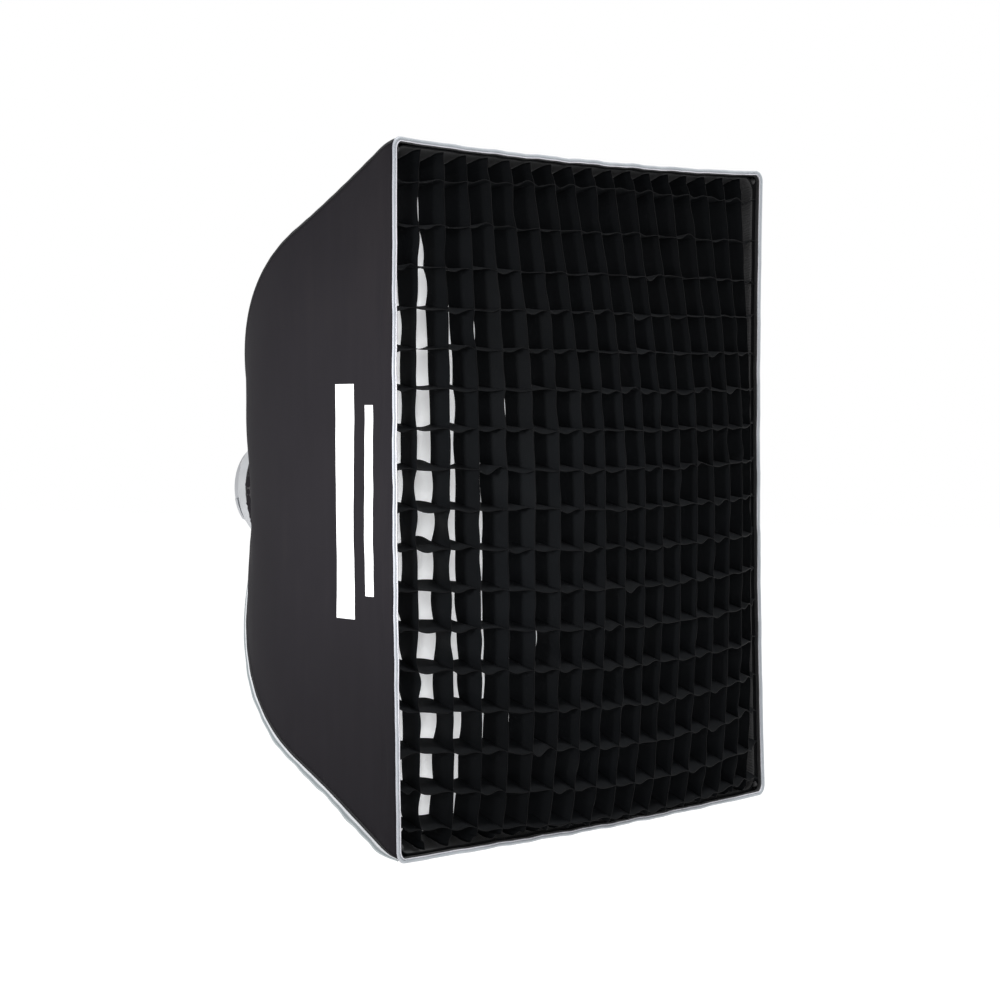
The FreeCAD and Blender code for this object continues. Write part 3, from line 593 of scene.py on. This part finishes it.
def make_print(name, near, far, low, high):
    """A flat printed stripe on the left side, a hair above the cloth."""
    depths = np.linspace(near, far, 41)
    heights = np.linspace(low, high, 161)
    grid_height, grid_depth = np.meshgrid(heights, depths)
    u = grid_height / (side_half(grid_depth) - SEAM_INSET)
    points = side_points("left", u, grid_depth, 0.0005)
    uvs = np.stack([grid_height, grid_depth], -1)
    return finish_piece(net(name, points, uvs), "box", "panel_cloth", PRINT)


make_print("print_stripe_wide", 0.098, 0.143, -0.155, 0.145)
make_print("print_stripe_narrow", 0.052, 0.072, -0.124, 0.118)


def make_corner_piping(corner):
    """Flattened silver binding over each seam: it stands out below and lies over above."""
    sx, sz = CORNERS[corner]
    depth = np.linspace(0.0050, 0.5275, 150)
    path = drifted(*seam_point(corner, depth).T, depth)
    tangent = unit(np.gradient(path, axis=0))
    diagonal = unit(np.array([sx, 0.0, sz]))
    sideways = unit(np.array([-sx, 0.0, sz]))
    psi = math.radians(128 if sz > 0 else 12)
    flange = math.cos(psi) * diagonal + math.sin(psi) * sideways
    flange = unit(flange[None, :] - (tangent @ flange)[:, None] * tangent)
    cross = unit(np.cross(tangent, flange))
    if cross[0] @ diagonal < 0:
        cross = -cross
    share = 1 - (depth - depth[0]) / (depth[-1] - depth[0])
    wave = 0.08 * np.sin(depth * 70) + 0.05 * np.sin(depth * 173 + 1)
    taper = 0.24 + 0.76 * step(depth, 0.0, 0.055)
    width = (0.0017 + 0.0034 * share ** 0.45) * (1 + wave) * taper
    thick = 0.0013 + 0.0002 * np.sin(depth * 210)
    lift = 0.0012 if sz < 0 else 0.0006
    base = oval(1, 1, 20, 2.6)
    profile = np.stack([base[None, :, 0] * width[:, None] + (width + lift * taper)[:, None],
                        base[None, :, 1] * thick[:, None] + (0.0014 if sz > 0 else 0.0)], -1)
    # the colour stops run across the binding's width: painted highlight nearer the seam, painted shade
    # further out
    piping = sweep(f"piping_{corner}", path, flange, cross, profile, round_part=(base[:, 0] + 1) / 2)
    finish_piece(piping, "box", "silver_piping", SEAM_PIPING, f"corner_piping_{corner}")
    welt = sweep(f"welt_{corner}", path, flange, cross, oval(0.0013, 0.0013, 10, 2.0))
    finish_piece(welt, "box", "silver_piping", THREAD_BLACK)


for corner in CORNERS:
    make_corner_piping(corner)


def square_path(half, radius, count_side=60, count_corner=12):
    """Closed path of a rounded square in x and z, with its outward normals."""
    points, normals = [], []
    for sx, sz, first in ((1, 1, 0), (1, -1, -90), (-1, -1, -180), (-1, 1, -270)):
        for k in range(count_corner + 1):
            angle = math.radians(first + 90 - 90 * k / count_corner)
            points.append((sx * (half - radius) + radius * math.cos(angle),
                           sz * (half - radius) + radius * math.sin(angle)))
            normals.append((math.cos(angle), math.sin(angle)))
    dense_points, dense_normals = [], []
    total = len(points)
    for k in range(total):
        a, b = np.array(points[k]), np.array(points[(k + 1) % total])
        na, nb = np.array(normals[k]), np.array(normals[(k + 1) % total])
        parts = count_side if np.linalg.norm(b - a) > 4 * radius else 1
        for j in range(parts):
            dense_points.append(a + (b - a) * j / parts)
            dense_normals.append(na + (nb - na) * j / parts)
    return np.array(dense_points), unit(np.array(dense_normals))


def ring_frame(half, radius, depth, *counts):
    """Rounded square at one depth that drifts with the cloth, with its outward and backward axes."""
    flat, normal = square_path(half, radius, *counts)
    path = drifted(flat[:, 0], np.full(len(flat), FRONT + depth), flat[:, 1], depth)
    return path, outwards(normal), backward(path)


def make_rim():
    path, out, back = ring_frame(HALF - 0.0023, 0.013, 0.0030)
    count = len(path)
    place = np.linspace(0, 2 * math.pi, count, endpoint=False)
    swell = 1 + 0.05 * np.sin(place * 37) + 0.04 * np.sin(place * 61 + 1)
    base = oval(1, 1, 20, 2.3)
    # The binding lies flatter towards the left side and stands out more towards the right
    to_right = np.maximum(out[:, :1], 0)
    profile = np.stack([base[None, :, 0] * (0.0024 * swell[:, None] + 0.0013 * to_right),
                        base[None, :, 1] * (0.0025 + 0.0011 * out[:, :1] + 0.0008 * to_right)], -1)
    rim = sweep("front_rim", path, out, back, profile, closed=True)
    # greyer copy of the binding fabric: painted shade
    finish_piece(rim, "box", "silver_piping", RIM_SHADED, "front_rim_piping")
    # lighter copy of the binding fabric: a painted highlight line inside the binding
    edge = sweep("front_rim_edge", *ring_frame(HALF - 0.0052, 0.0110, 0.0020),
                 oval(0.0008, 0.0015, 12, 2.2), closed=True)
    finish_piece(edge, "box", "silver_piping", RIM_HIGHLIGHT)
    inner = sweep("front_rim_lip", *ring_frame(HALF - 0.0066, 0.0105, 0.0042),
                  oval(0.0008, 0.0030, 12, 2.6), closed=True)
    finish_piece(inner, "box", "panel_cloth", THREAD_BLACK)


make_rim()


# ---------------------------------------------------------------- neck collar

def make_collar():
    """Gathered hem that closes the cloth round the metal ring, open over each rod socket."""
    count = 384
    angle = np.linspace(0, 2 * math.pi, count, endpoint=False)
    quarter = (angle + math.pi / 4) % (math.pi / 2) - math.pi / 4
    to_corner = np.abs(np.abs(quarter) - math.pi / 4)
    square = side_half(NECK[0] - 0.0015) - 0.0016
    square_radius = np.minimum(square / np.cos(quarter), square * math.sqrt(2))
    outer = np.maximum(square_radius, COLLAR_RADIUS + NECK_PUFF - 0.0006)
    gather = np.sin(angle * 48 + 1.1 * np.sin(angle * 7)) * (0.75 + 0.25 * np.sin(angle * 11 + 1))
    notch = np.exp(-(to_corner / 0.105) ** 4)
    rows = []
    stages = (
        (0.0000, 0.0, 0.0), (0.0018, 0.35, 0.4), (0.0035, 0.7, 0.8), (0.0052, 0.92, 1.0),
        (0.0075, 1.0, 0.9), (0.0090, 1.0, 0.4), (0.0102, 1.0, 0.15))
    for ahead, closing, ruffle in stages:
        radius = outer * (1 - closing) + (COLLAR_RADIUS - 0.0006) * closing
        radius = radius + 0.0011 * ruffle * gather * (1 - notch)
        radius = radius * (1 - notch) + np.maximum(outer, radius) * notch
        depth = NECK[0] - 0.0015 + ahead * (1 - 0.9 * notch)
        rows.append(np.stack([radius * np.sin(angle), FRONT + depth, radius * np.cos(angle)], -1))
    points = np.array(rows)
    run = np.cumsum([0] + [0.002] * (len(stages) - 1))
    uvs = np.stack(np.broadcast_arrays(angle[None, :] * COLLAR_RADIUS, run[:, None]), -1)
    collar = net("collar_gathers", points, uvs, wrap_columns=True)
    thicken(collar, 0.0010, -1.0)
    finish_piece(collar, "box", "collar_elastic", COLLAR_CLOTH, "neck_collar")
    cord_path = points[-1]
    out = np.stack([np.sin(angle), np.zeros(count), np.cos(angle)], -1)
    hem = sweep("collar_hem", cord_path, out, backward(cord_path), oval(0.0012, 0.0012, 10, 2.0), closed=True)
    finish_piece(hem, "box", "collar_elastic", ELASTIC)


make_collar()


# ---------------------------------------------------------------- rods and pockets

def rod_axis(corner, depth):
    """Centre line of a rod, inside its corner seam."""
    sx, sz = CORNERS[corner]
    half = side_half(depth)
    ahead = side_half(depth + 0.001)
    slope = (half - ahead) / 0.001 * math.sqrt(2)
    angle = np.arctan(slope)
    radial = half * math.sqrt(2) - ROD_INSET * np.cos(angle)
    return np.stack([sx * radial / math.sqrt(2), FRONT + depth - ROD_INSET * np.sin(angle),
                     sz * radial / math.sqrt(2)], -1)


def axis_frame(path):
    tangent = unit(np.gradient(path, axis=0))
    radial = unit(path * np.array([1.0, 0.0, 1.0]))
    first = unit(radial - np.sum(radial * tangent, -1, keepdims=True) * tangent)
    return first, unit(np.cross(tangent, first))


def make_pocket(corner):
    """Sewn sleeve, closed at the front, with puckers and a bound mouth."""
    low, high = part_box(f"rod_pocket_{corner}")
    depth = np.linspace(low.y - FRONT + 0.0045, high.y - FRONT + 0.0008, 44)
    path = rod_axis(corner, depth)
    first, second = axis_frame(path)
    share = np.linspace(0, 1, len(depth))
    angles = np.linspace(0, 2 * math.pi, 28, endpoint=False)
    pucker = 0.00025 * np.sin(share[:, None] * 60 + 2 * np.sin(angles * 2)[None, :])
    mouth = 0.0004 * np.exp(-((share - 0.97) / 0.03) ** 2)[:, None]
    radius = 0.0044 + pucker + mouth
    radius = radius * np.minimum(1, 0.35 + 9 * share)[:, None]
    profile = np.stack([radius * np.cos(angles), radius * np.sin(angles)], -1)
    sleeve = sweep(f"pocket_{corner}", path, first, second, profile)
    finish_piece(sleeve, "box", "pocket_cloth", POCKET, f"rod_pocket_{corner}")


def paint(name, material):
    """Give a CAD node its material."""
    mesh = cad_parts[name].data
    mesh.materials.clear()
    mesh.materials.append(material)
    return mesh


for corner in CORNERS:
    make_pocket(corner)
    paint(f"rod_{corner}", STEEL)
    paint(f"rod_cap_{corner}", CAP)

for name, material in CAD_MATERIALS.items():
    mesh = paint(name, material)
    for polygon in mesh.polygons:
        polygon.use_smooth = True
    mesh.set_sharp_from_angle(angle=math.radians(30))


# ---------------------------------------------------------------- frames and tapes inside the front

def border_frame(depth, inset, radius):
    """Closed line round the inside of the box at one depth, with its axes."""
    return ring_frame(float(side_half(depth)) - inset, radius, depth, 80, 14)


def make_border(name, body, slot, material, node, binding):
    """Sewn frame of tape: a flat wall with a bound edge at the front and at the back."""
    low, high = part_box(node)
    near, far = low.y - FRONT, high.y - FRONT
    depths = np.linspace(near + 0.0005, far - 0.0005, 9)
    outer, inner = [], []
    for k, depth in enumerate(depths):
        line, normal, _ = border_frame(depth, BORDER_GAP, BORDER_RADIUS)
        bulge = 0.0004 if k in (1, 7) else 0.0
        outer.append(line)
        inner.append(line - normal * (BORDER_WALL + bulge))
    ring = np.array(outer + inner[::-1])
    run = np.concatenate([depths, depths[::-1] + far])
    lengths = run_lengths(ring[0])
    uvs = np.stack(np.broadcast_arrays(run[:, None], lengths[None, :]), -1)
    border = net(name, ring, uvs, wrap_rows=True, wrap_columns=True)
    finish_piece(border, body, slot, material, node)
    for label, depth in (("front", near + 0.0008), ("back", far - 0.0008)):
        axes = border_frame(depth, BORDER_GAP + 0.0007, BORDER_RADIUS - 0.001)
        edge = sweep(f"{name}_{label}_binding", *axes, oval(0.0012, 0.0014, 10), closed=True)
        finish_piece(edge, body, slot, binding)
    return border


make_border("grid_border_tape", "grid", "grid_tape", BORDER_TAPE, "grid_border", GRID_HEM)
diffuser_border = make_border("diffuser_border_tape", "diffuser", "hook_tape", TAPE_HOOK,
                              "diffuser_border", BORDER_TAPE)


def make_loop_tape(node, side):
    """Loop tape sewn flat inside a side, slightly wavy, with a stitch row along each edge."""
    low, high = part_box(node)
    along, outward = SIDES[side]
    reach = max(abs(low.dot(along)), abs(high.dot(along)))
    depths = np.linspace(low.y - FRONT + 0.0006, high.y - FRONT - 0.0006, 9)
    spans = np.linspace(-reach, reach, 121)
    grid_span, grid_depth = np.meshgrid(spans, depths)
    half = side_half(grid_depth)
    wave = 0.00012 * np.sin(grid_span * 90) + 0.00010 * waves(grid_span * 9, grid_depth * 30, 5)
    edge = np.minimum(grid_depth - depths[0], depths[-1] - grid_depth)
    stitch = 0.00025 * np.exp(-((edge - 0.002) / 0.0006) ** 2) * (0.5 + 0.5 * np.sin(grid_span * 1400))
    level = half - 0.0015 - wave + stitch
    x = along.x * grid_span + outward.x * level
    z = along.z * grid_span + outward.z * level
    points = drifted(x, FRONT + grid_depth, z, grid_depth)
    tape = net(f"{node}_sewn", points, np.stack([grid_depth, grid_span], -1))
    thicken(tape, 0.0009, -1.0)
    finish_piece(tape, "box", "loop_tape", TAPE_LOOP, node)


for side in SIDES:
    make_loop_tape(f"grid_loop_tape_{side}", side)
    make_loop_tape(f"diffuser_loop_tape_{side}", side)


# ---------------------------------------------------------------- fabric grid

def grid_place(x, z, t):
    """Where a point of the flat grid goes: t is 0 at the front edge of a strip, 1 at the back."""
    p = np.clip((x + STRIP_END) / (2 * STRIP_END), 0, 1)
    q = np.clip((z + STRIP_END) / (2 * STRIP_END), 0, 1)
    sine_p = np.sin(np.pi * p)
    sine_q = np.sin(np.pi * q)
    across = np.power(np.maximum(sine_p, 0), 1.35 - 1.0 * step(p, 0.1, 0.9))
    across = across * (1 - np.clip(2 * p - 1, 0, 1) ** 10)
    upright = np.power(np.maximum(sine_q, 0), 0.42 + 0.75 * step(q, 0.35, 1.0))
    belly = BELLY * across * upright
    seat = GRID_SEAT + 0.011 * np.exp(-(x + STRIP_END) / 0.07) * np.power(np.maximum(sine_q, 0), 0.4)
    loose = step(q, 0.0, 0.10) * (1 - step(q, 0.73, 0.94))
    most = FIRST_STRIP - 0.03 * z
    upright_part = np.maximum(step(-z, 0.12, 0.36), bump(x, FIRST_STRIP, 0.03))
    lean = LEAN * bump(x, most, 0.058) * loose * (1 - 0.34 * upright_part)
    lean = lean - 0.003 * bump(x, -0.11, 0.09)
    lean = lean - 0.0062 * step(z, -0.30, 0.05) * bump(x, -0.205, 0.055)
    lean = lean - 0.0075 * step(z, 0.0, 0.12) * bump(x, -0.245, 0.032)
    lean = lean - 0.0050 * step(z, 0.27, 0.34) * bump(x, -0.365, 0.045)
    lean = np.where(x < FIRST_STRIP, lean * np.clip((x + STRIP_END) / 0.046, 0, 1), lean)
    length = np.sqrt(np.maximum(STRIP_DEPTH ** 2 - lean ** 2, 0))
    droop = -0.024 + 0.078 * z
    raised = 0.014 * step(z, 0.30, 0.40) + 0.012 * step(-z, 0.33, 0.40)
    sideways = 0.35 + 0.65 * (1 - ((x - 0.07) / 0.51) ** 2)
    held = step(STRIP_END - np.abs(z), 0.0, 0.045)
    fall = (droop + raised) * sideways * held * (1 - 0.45 * t)
    fall = fall - 0.006 * (1 - t) * held * np.exp(-(x + STRIP_END) / 0.08)
    depth = seat - belly + length * t
    # The ends of a strip follow the slope of the border that they are sewn to
    draw_in = side_half(np.maximum(depth, 0.012)) - BORDER_GAP - BORDER_WALL - 0.0012 - STRIP_END
    lean_low = 0.006 * bump(x - FIRST_STRIP, 0.105, 0.035) * step(-z, 0.08, 0.30) * loose
    lean = lean + lean_low
    pulled_x = x + draw_in * np.sign(x) * np.abs(x / STRIP_END) ** 14
    gather = 0.008 * bump(x, FIRST_STRIP, 0.026)
    drag = 0.012 * np.exp(-(x + STRIP_END) / 0.30) * step(-z, 0.02, 0.32)
    drag = drag * (1 - bump(x, FIRST_STRIP, 0.045))
    pulled_x = pulled_x + (drag - gather) * loose
    pulled_z = z + draw_in * np.sign(z) * np.abs(z / STRIP_END) ** 14
    move_x, move_z = drift(x, z, 0.02)
    return np.stack([pulled_x + lean * t + move_x * (1 - across), FRONT + depth,
                     pulled_z + fall + move_z], -1)


def make_strips(name, node, upright):
    """Seventeen hemmed ribbons, seated in each other at the crossings and loose between them."""
    cells, parts = STRIP_COUNT + 1, 12
    rng = np.random.default_rng(23 if upright else 41)
    half_cloth, bead = 0.00033, 0.00042
    # Section: depth share, half thickness side, either side of the middle of the cloth
    depths = np.array([0.0, 0.012, 0.04, 0.07, 0.30, 0.60, 0.93, 0.97, 1.0])
    thickness = np.array([0.3, 1.0, 1.0, 0.0, 0.0, 0.0, 0.0, 0.6, 0.3])
    thickness = half_cloth + (bead - half_cloth) * thickness
    section_t = np.concatenate([depths, depths[::-1]])
    section_side = np.concatenate([thickness, -thickness[::-1]])
    all_points, all_faces, all_uvs, slots = [], [], [], []
    start = 0
    left_flare = rng.uniform(-0.016, 0.010, STRIP_COUNT)
    right_flare = rng.uniform(-0.010, 0.008, STRIP_COUNT)
    line = np.concatenate([[-STRIP_END], FIRST_STRIP + STRIP_PITCH * np.arange(STRIP_COUNT), [STRIP_END]])
    for k in range(STRIP_COUNT):
        run = np.concatenate([np.linspace(line[c], line[c + 1], parts, endpoint=False)
                              for c in range(cells)] + [[STRIP_END]])
        fixed = np.full_like(run, FIRST_STRIP + STRIP_PITCH * k)
        local = np.concatenate([np.linspace(0, 1, parts, endpoint=False) for _ in range(cells)] + [[0.0]])
        cell = np.minimum(np.arange(len(run)) // parts, cells - 1)
        arch = np.sin(np.pi * local)
        double = np.sin(2 * np.pi * local)
        # Each cell buckles its own way; the front and back edges bow apart
        front_bow = rng.normal(0, 0.0011, cells)[cell]
        back_bow = rng.normal(0, 0.0026, cells)[cell]
        twist = rng.normal(0, 0.0009, cells)[cell]
        if upright and k < 2:
            # The slack strips at the left buckle more than the others
            front_bow, back_bow = front_bow * 1.9, back_bow * 2.0
        jog = rng.normal(0, 0.0010, cells + 1)
        jog[0] = jog[-1] = 0.0
        jog_line = jog[cell] * (1 - local) + jog[np.minimum(cell + 1, cells)] * local
        if not upright:
            front_bow = front_bow * 1.5 - 0.0010
            twist = twist * 1.5 - 0.0013
            back_bow = back_bow * 1.2 + 0.0015
        ends = step(STRIP_END - np.abs(run), 0.0, 0.03)
        for t, side in zip(section_t, section_side):
            bow = arch * (front_bow * (1 - t) + back_bow * t) + double * twist * (1 - 1.2 * t)
            bow = (bow + jog_line * (1 - 2.0 * t) * 0.8) * ends
            if not upright:
                flare = np.where(run < 0, left_flare[k], right_flare[k])
                bow = bow + flare * (0.7 - t) * np.exp(-((STRIP_END - np.abs(run)) / 0.014) ** 2)
            points = grid_place(fixed, run, t) if upright else grid_place(run, fixed, t)
            points[:, 0 if upright else 2] += bow + side
            points[:, 1] += 0.0008 * arch * np.abs(front_bow) / 0.002 * (1 - t)
            all_points.append(points)
            all_uvs.append(np.stack([np.full_like(run, t * STRIP_DEPTH), run], -1))
        rows, columns = len(section_t), len(run)
        all_faces.extend(net_faces(rows, columns, start, wrap_rows=True))
        for row in range(rows):
            near = section_t[row] < HEM_SHARE and section_t[(row + 1) % rows] < HEM_SHARE
            slots.extend([1 if near else 0] * (columns - 1))
        for column in (0, columns - 1):
            loop = tuple(start + row * columns + column for row in range(rows))
            all_faces.append(loop if column == 0 else loop[::-1])
            slots.append(0)
        start += rows * columns
    ribbons = make_mesh(name, np.concatenate(all_points), all_faces, np.concatenate(all_uvs), slots=slots)
    return finish_piece(ribbons, "grid", "grid_cloth", [GRID_CLOTH, GRID_HEM], node)


uprights = make_strips("grid_uprights", "grid_upright_strips", True)
crosses = make_strips("grid_crosses", "grid_cross_strips", False)


# ---------------------------------------------------------------- diffuser and baffle

def make_diffuser():
    share = np.linspace(-1, 1, 97)
    a, b = np.meshgrid(share, share)
    half = DIFFUSER_HIGH.x - 0.0006
    # Rounded square: the outer cells are drawn in at the corners
    pull = np.minimum(1, 1 / np.maximum(1e-9, (np.abs(a) ** 40 + np.abs(b) ** 40) ** (1 / 40)))
    x, z = a * half * pull, b * half * pull
    inside = (1 - np.abs(a) ** 8) * (1 - np.abs(b) ** 8)
    slack = 0.0016 * waves(a * 3, b * 3, 77, 6) + 0.0010 * waves(a * 9, b * 4, 78, 6)
    y = DIFFUSER_LOW.y + DIFFUSER_SETBACK + slack * inside + 0.004 * inside
    sheet = net("diffuser_sheet", drifted(x, y, z, 0.045), np.stack([x, z], -1))
    thicken(sheet, 0.0006, 0.0)
    finish_piece(sheet, "diffuser", "diffuser_cloth", DIFFUSER, "front_diffuser")


make_diffuser()


def make_baffle():
    half_x = BAFFLE_HIGH.x
    middle = (BAFFLE_LOW.y + BAFFLE_HIGH.y) / 2
    share = np.linspace(-1, 1, 73)
    a, b = np.meshgrid(share, share)
    inside = (1 - a ** 4) * (1 - b ** 4)
    pulled = 0.004 * ((1 - np.abs(a) ** 2) * np.abs(b) ** 6 * np.sign(b))
    pulled_x = 0.004 * ((1 - np.abs(b) ** 2) * np.abs(a) ** 6 * np.sign(a))
    toward = np.abs(a * b) ** 3
    tension = 0.0022 * np.sin((a - np.sign(a * b) * b) * 22) * toward * (1 - toward)
    y = middle + 0.0016 * waves(a * 3, b * 3, 91, 5) * inside + tension
    x, z = a * half_x - pulled_x, b * half_x - pulled
    sheet = net("baffle_sheet", np.stack([x, y, z], -1), np.stack([x, z], -1))
    thicken(sheet, 0.0006, 0.0)
    finish_piece(sheet, "baffle", "baffle_cloth", BAFFLE, "baffle_panel")
    low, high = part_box("baffle_hem")
    outer = high.x
    width = 0.012
    flat, normal = square_path(outer - width / 2, 0.004, 90, 4)
    bow = 0.004 * (1 - np.clip(np.minimum(np.abs(flat[:, 0]), np.abs(flat[:, 1])) / outer, 0, 1) ** 2)
    line = np.stack([flat[:, 0] - normal[:, 0] * bow, np.full(len(flat), middle),
                     flat[:, 1] - normal[:, 1] * bow], -1)
    thick = (high.y - low.y) / 2
    hem = sweep("baffle_hem_tape", line, outwards(normal), backward(line),
                oval(width / 2, thick, 16, 5.0), closed=True)
    finish_piece(hem, "baffle", "baffle_hem", BAFFLE_HEM, "baffle_hem")


make_baffle()


def make_corner_ribbons(name, node, body, start, end):
    """Four short elastic ribbons in the corners, ribbed."""
    low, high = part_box(node)
    middle = (low.y + high.y) / 2
    half_width, half_thick = 0.0074, (high.y - low.y) / 2 * 0.95
    all_points, all_faces, all_uvs = [], [], []
    begin = 0
    for sx, sz in CORNERS.values():
        radial = unit(np.array([sx, 0.0, sz]))
        across = unit(np.array([-sz, 0.0, sx]))
        run = np.linspace(start, end, 41)
        path = radial[None, :] * run[:, None] + np.array([0.0, middle, 0.0])
        narrow = 1 - 0.03 * np.sin(np.linspace(0, math.pi, len(run)))
        base = oval(1, 1, 20, 5.0)
        points = (path[:, None, :] + across * (base[None, :, :1] * half_width * narrow[:, None, None])
                  + np.array([0.0, 1.0, 0.0]) * base[None, :, 1:] * half_thick)
        rows, columns = len(run), len(base)
        all_points.append(points.reshape(-1, 3))
        uvs = np.stack(np.broadcast_arrays(base[None, :, 0] * half_width, run[:, None]), -1)
        all_uvs.append(uvs.reshape(-1, 2))
        all_faces.extend(net_faces(rows, columns, begin, wrap_columns=True))
        all_faces.append(tuple(begin + k for k in range(columns - 1, -1, -1)))
        all_faces.append(tuple(begin + (rows - 1) * columns + k for k in range(columns)))
        begin += rows * columns
    ribbon = make_mesh(name, np.concatenate(all_points), all_faces, np.concatenate(all_uvs))
    finish_piece(ribbon, body, "elastic", ELASTIC, node)


make_corner_ribbons("baffle_strap_ribbons", "baffle_straps", "baffle", 0.398, 0.462)
make_corner_ribbons("baffle_tab_ribbons", "baffle_tabs", "box", 0.446, 0.473)


# ---------------------------------------------------------------- stage, light and camera

floor_mesh = bpy.data.meshes.new("floor")
floor_mesh.from_pydata([(-30, -30, 0), (30, -30, 0), (30, 30, 0), (-30, 30, 0)], [], [(0, 1, 2, 3)])
floor = bpy.data.objects.new("floor", floor_mesh)
floor.location = (0, 0, -1.25)
bpy.context.scene.collection.objects.link(floor)
pale = Nodes("pale_floor", (0.95, 0.95, 0.95), 0.9, Specular_IOR_Level=0.0)
pale.glow(0.12)
pale.vary(pale.noise(pale.place("Object"), 2.0), (0.94, 0.94, 0.94), (0.96, 0.96, 0.96))
floor_mesh.materials.append(pale.material)

world = bpy.context.scene.world or bpy.data.worlds.new("studio")
bpy.context.scene.world = world
world.use_nodes = True
world.node_tree.nodes["Background"].inputs["Color"].default_value = (1.0, 1.0, 1.0, 1)
world.node_tree.nodes["Background"].inputs["Strength"].default_value = 1.0


def make_light(name, kind, place, aim, power):
    """A lamp at a place, turned to its aim."""
    light = bpy.data.lights.new(name, kind)
    light.energy = power
    lamp = bpy.data.objects.new(name, light)
    lamp.location = place
    lamp.rotation_euler = (Vector(aim) - Vector(place)).to_track_quat("-Z", "Y").to_euler()
    bpy.context.scene.collection.objects.link(lamp)
    return light


for name, place, aim, size, power in (
        ("key", (-4.0, -3.4, 1.1), (0, -0.5, 0), 1.2, 36),
        ("side", (-2.0, 0.3, 1.7), (-0.4, -0.3, 0.2), 1.0, 6),
        ("top", (0.7, -2.1, 3.5), (0, -0.5, 0), 0.7, 110)):
    light = make_light(name, "AREA", place, aim, power)
    light.shape = "SQUARE"
    light.size = size

spot = make_light("panel_spot", "SPOT", (-3.2, -1.2, 0.25), (-0.42, FRONT + 0.14, 0.02), 640)
spot.spot_size = math.radians(17)
spot.spot_blend = 1.0
spot.shadow_soft_size = 0.25

# Fitted to the photograph, with the depth of the box held fixed
camera_data = bpy.data.cameras.new("camera")
camera = bpy.data.objects.new("camera", camera_data)
bpy.context.scene.collection.objects.link(camera)
camera_data.sensor_width = 36.0
camera_data.lens = 129.8
camera_data.clip_end = 100.0
AZIMUTH, PITCH, ROLL = math.radians(-55.535), math.radians(-1.589), math.radians(-0.303)
EYE = Vector((-4.0934, FRONT - 2.6539, 0.1236))
forward = Vector((-math.sin(AZIMUTH) * math.cos(PITCH), math.cos(AZIMUTH) * math.cos(PITCH), math.sin(PITCH)))
camera.location = EYE
camera.rotation_euler = (forward.to_track_quat("-Z", "Y") @ Quaternion((0, 0, 1), ROLL)).to_euler()
bpy.context.scene.camera = camera
bpy.context.scene.view_settings.view_transform = "Standard"
bpy.context.scene.view_settings.look = "None"
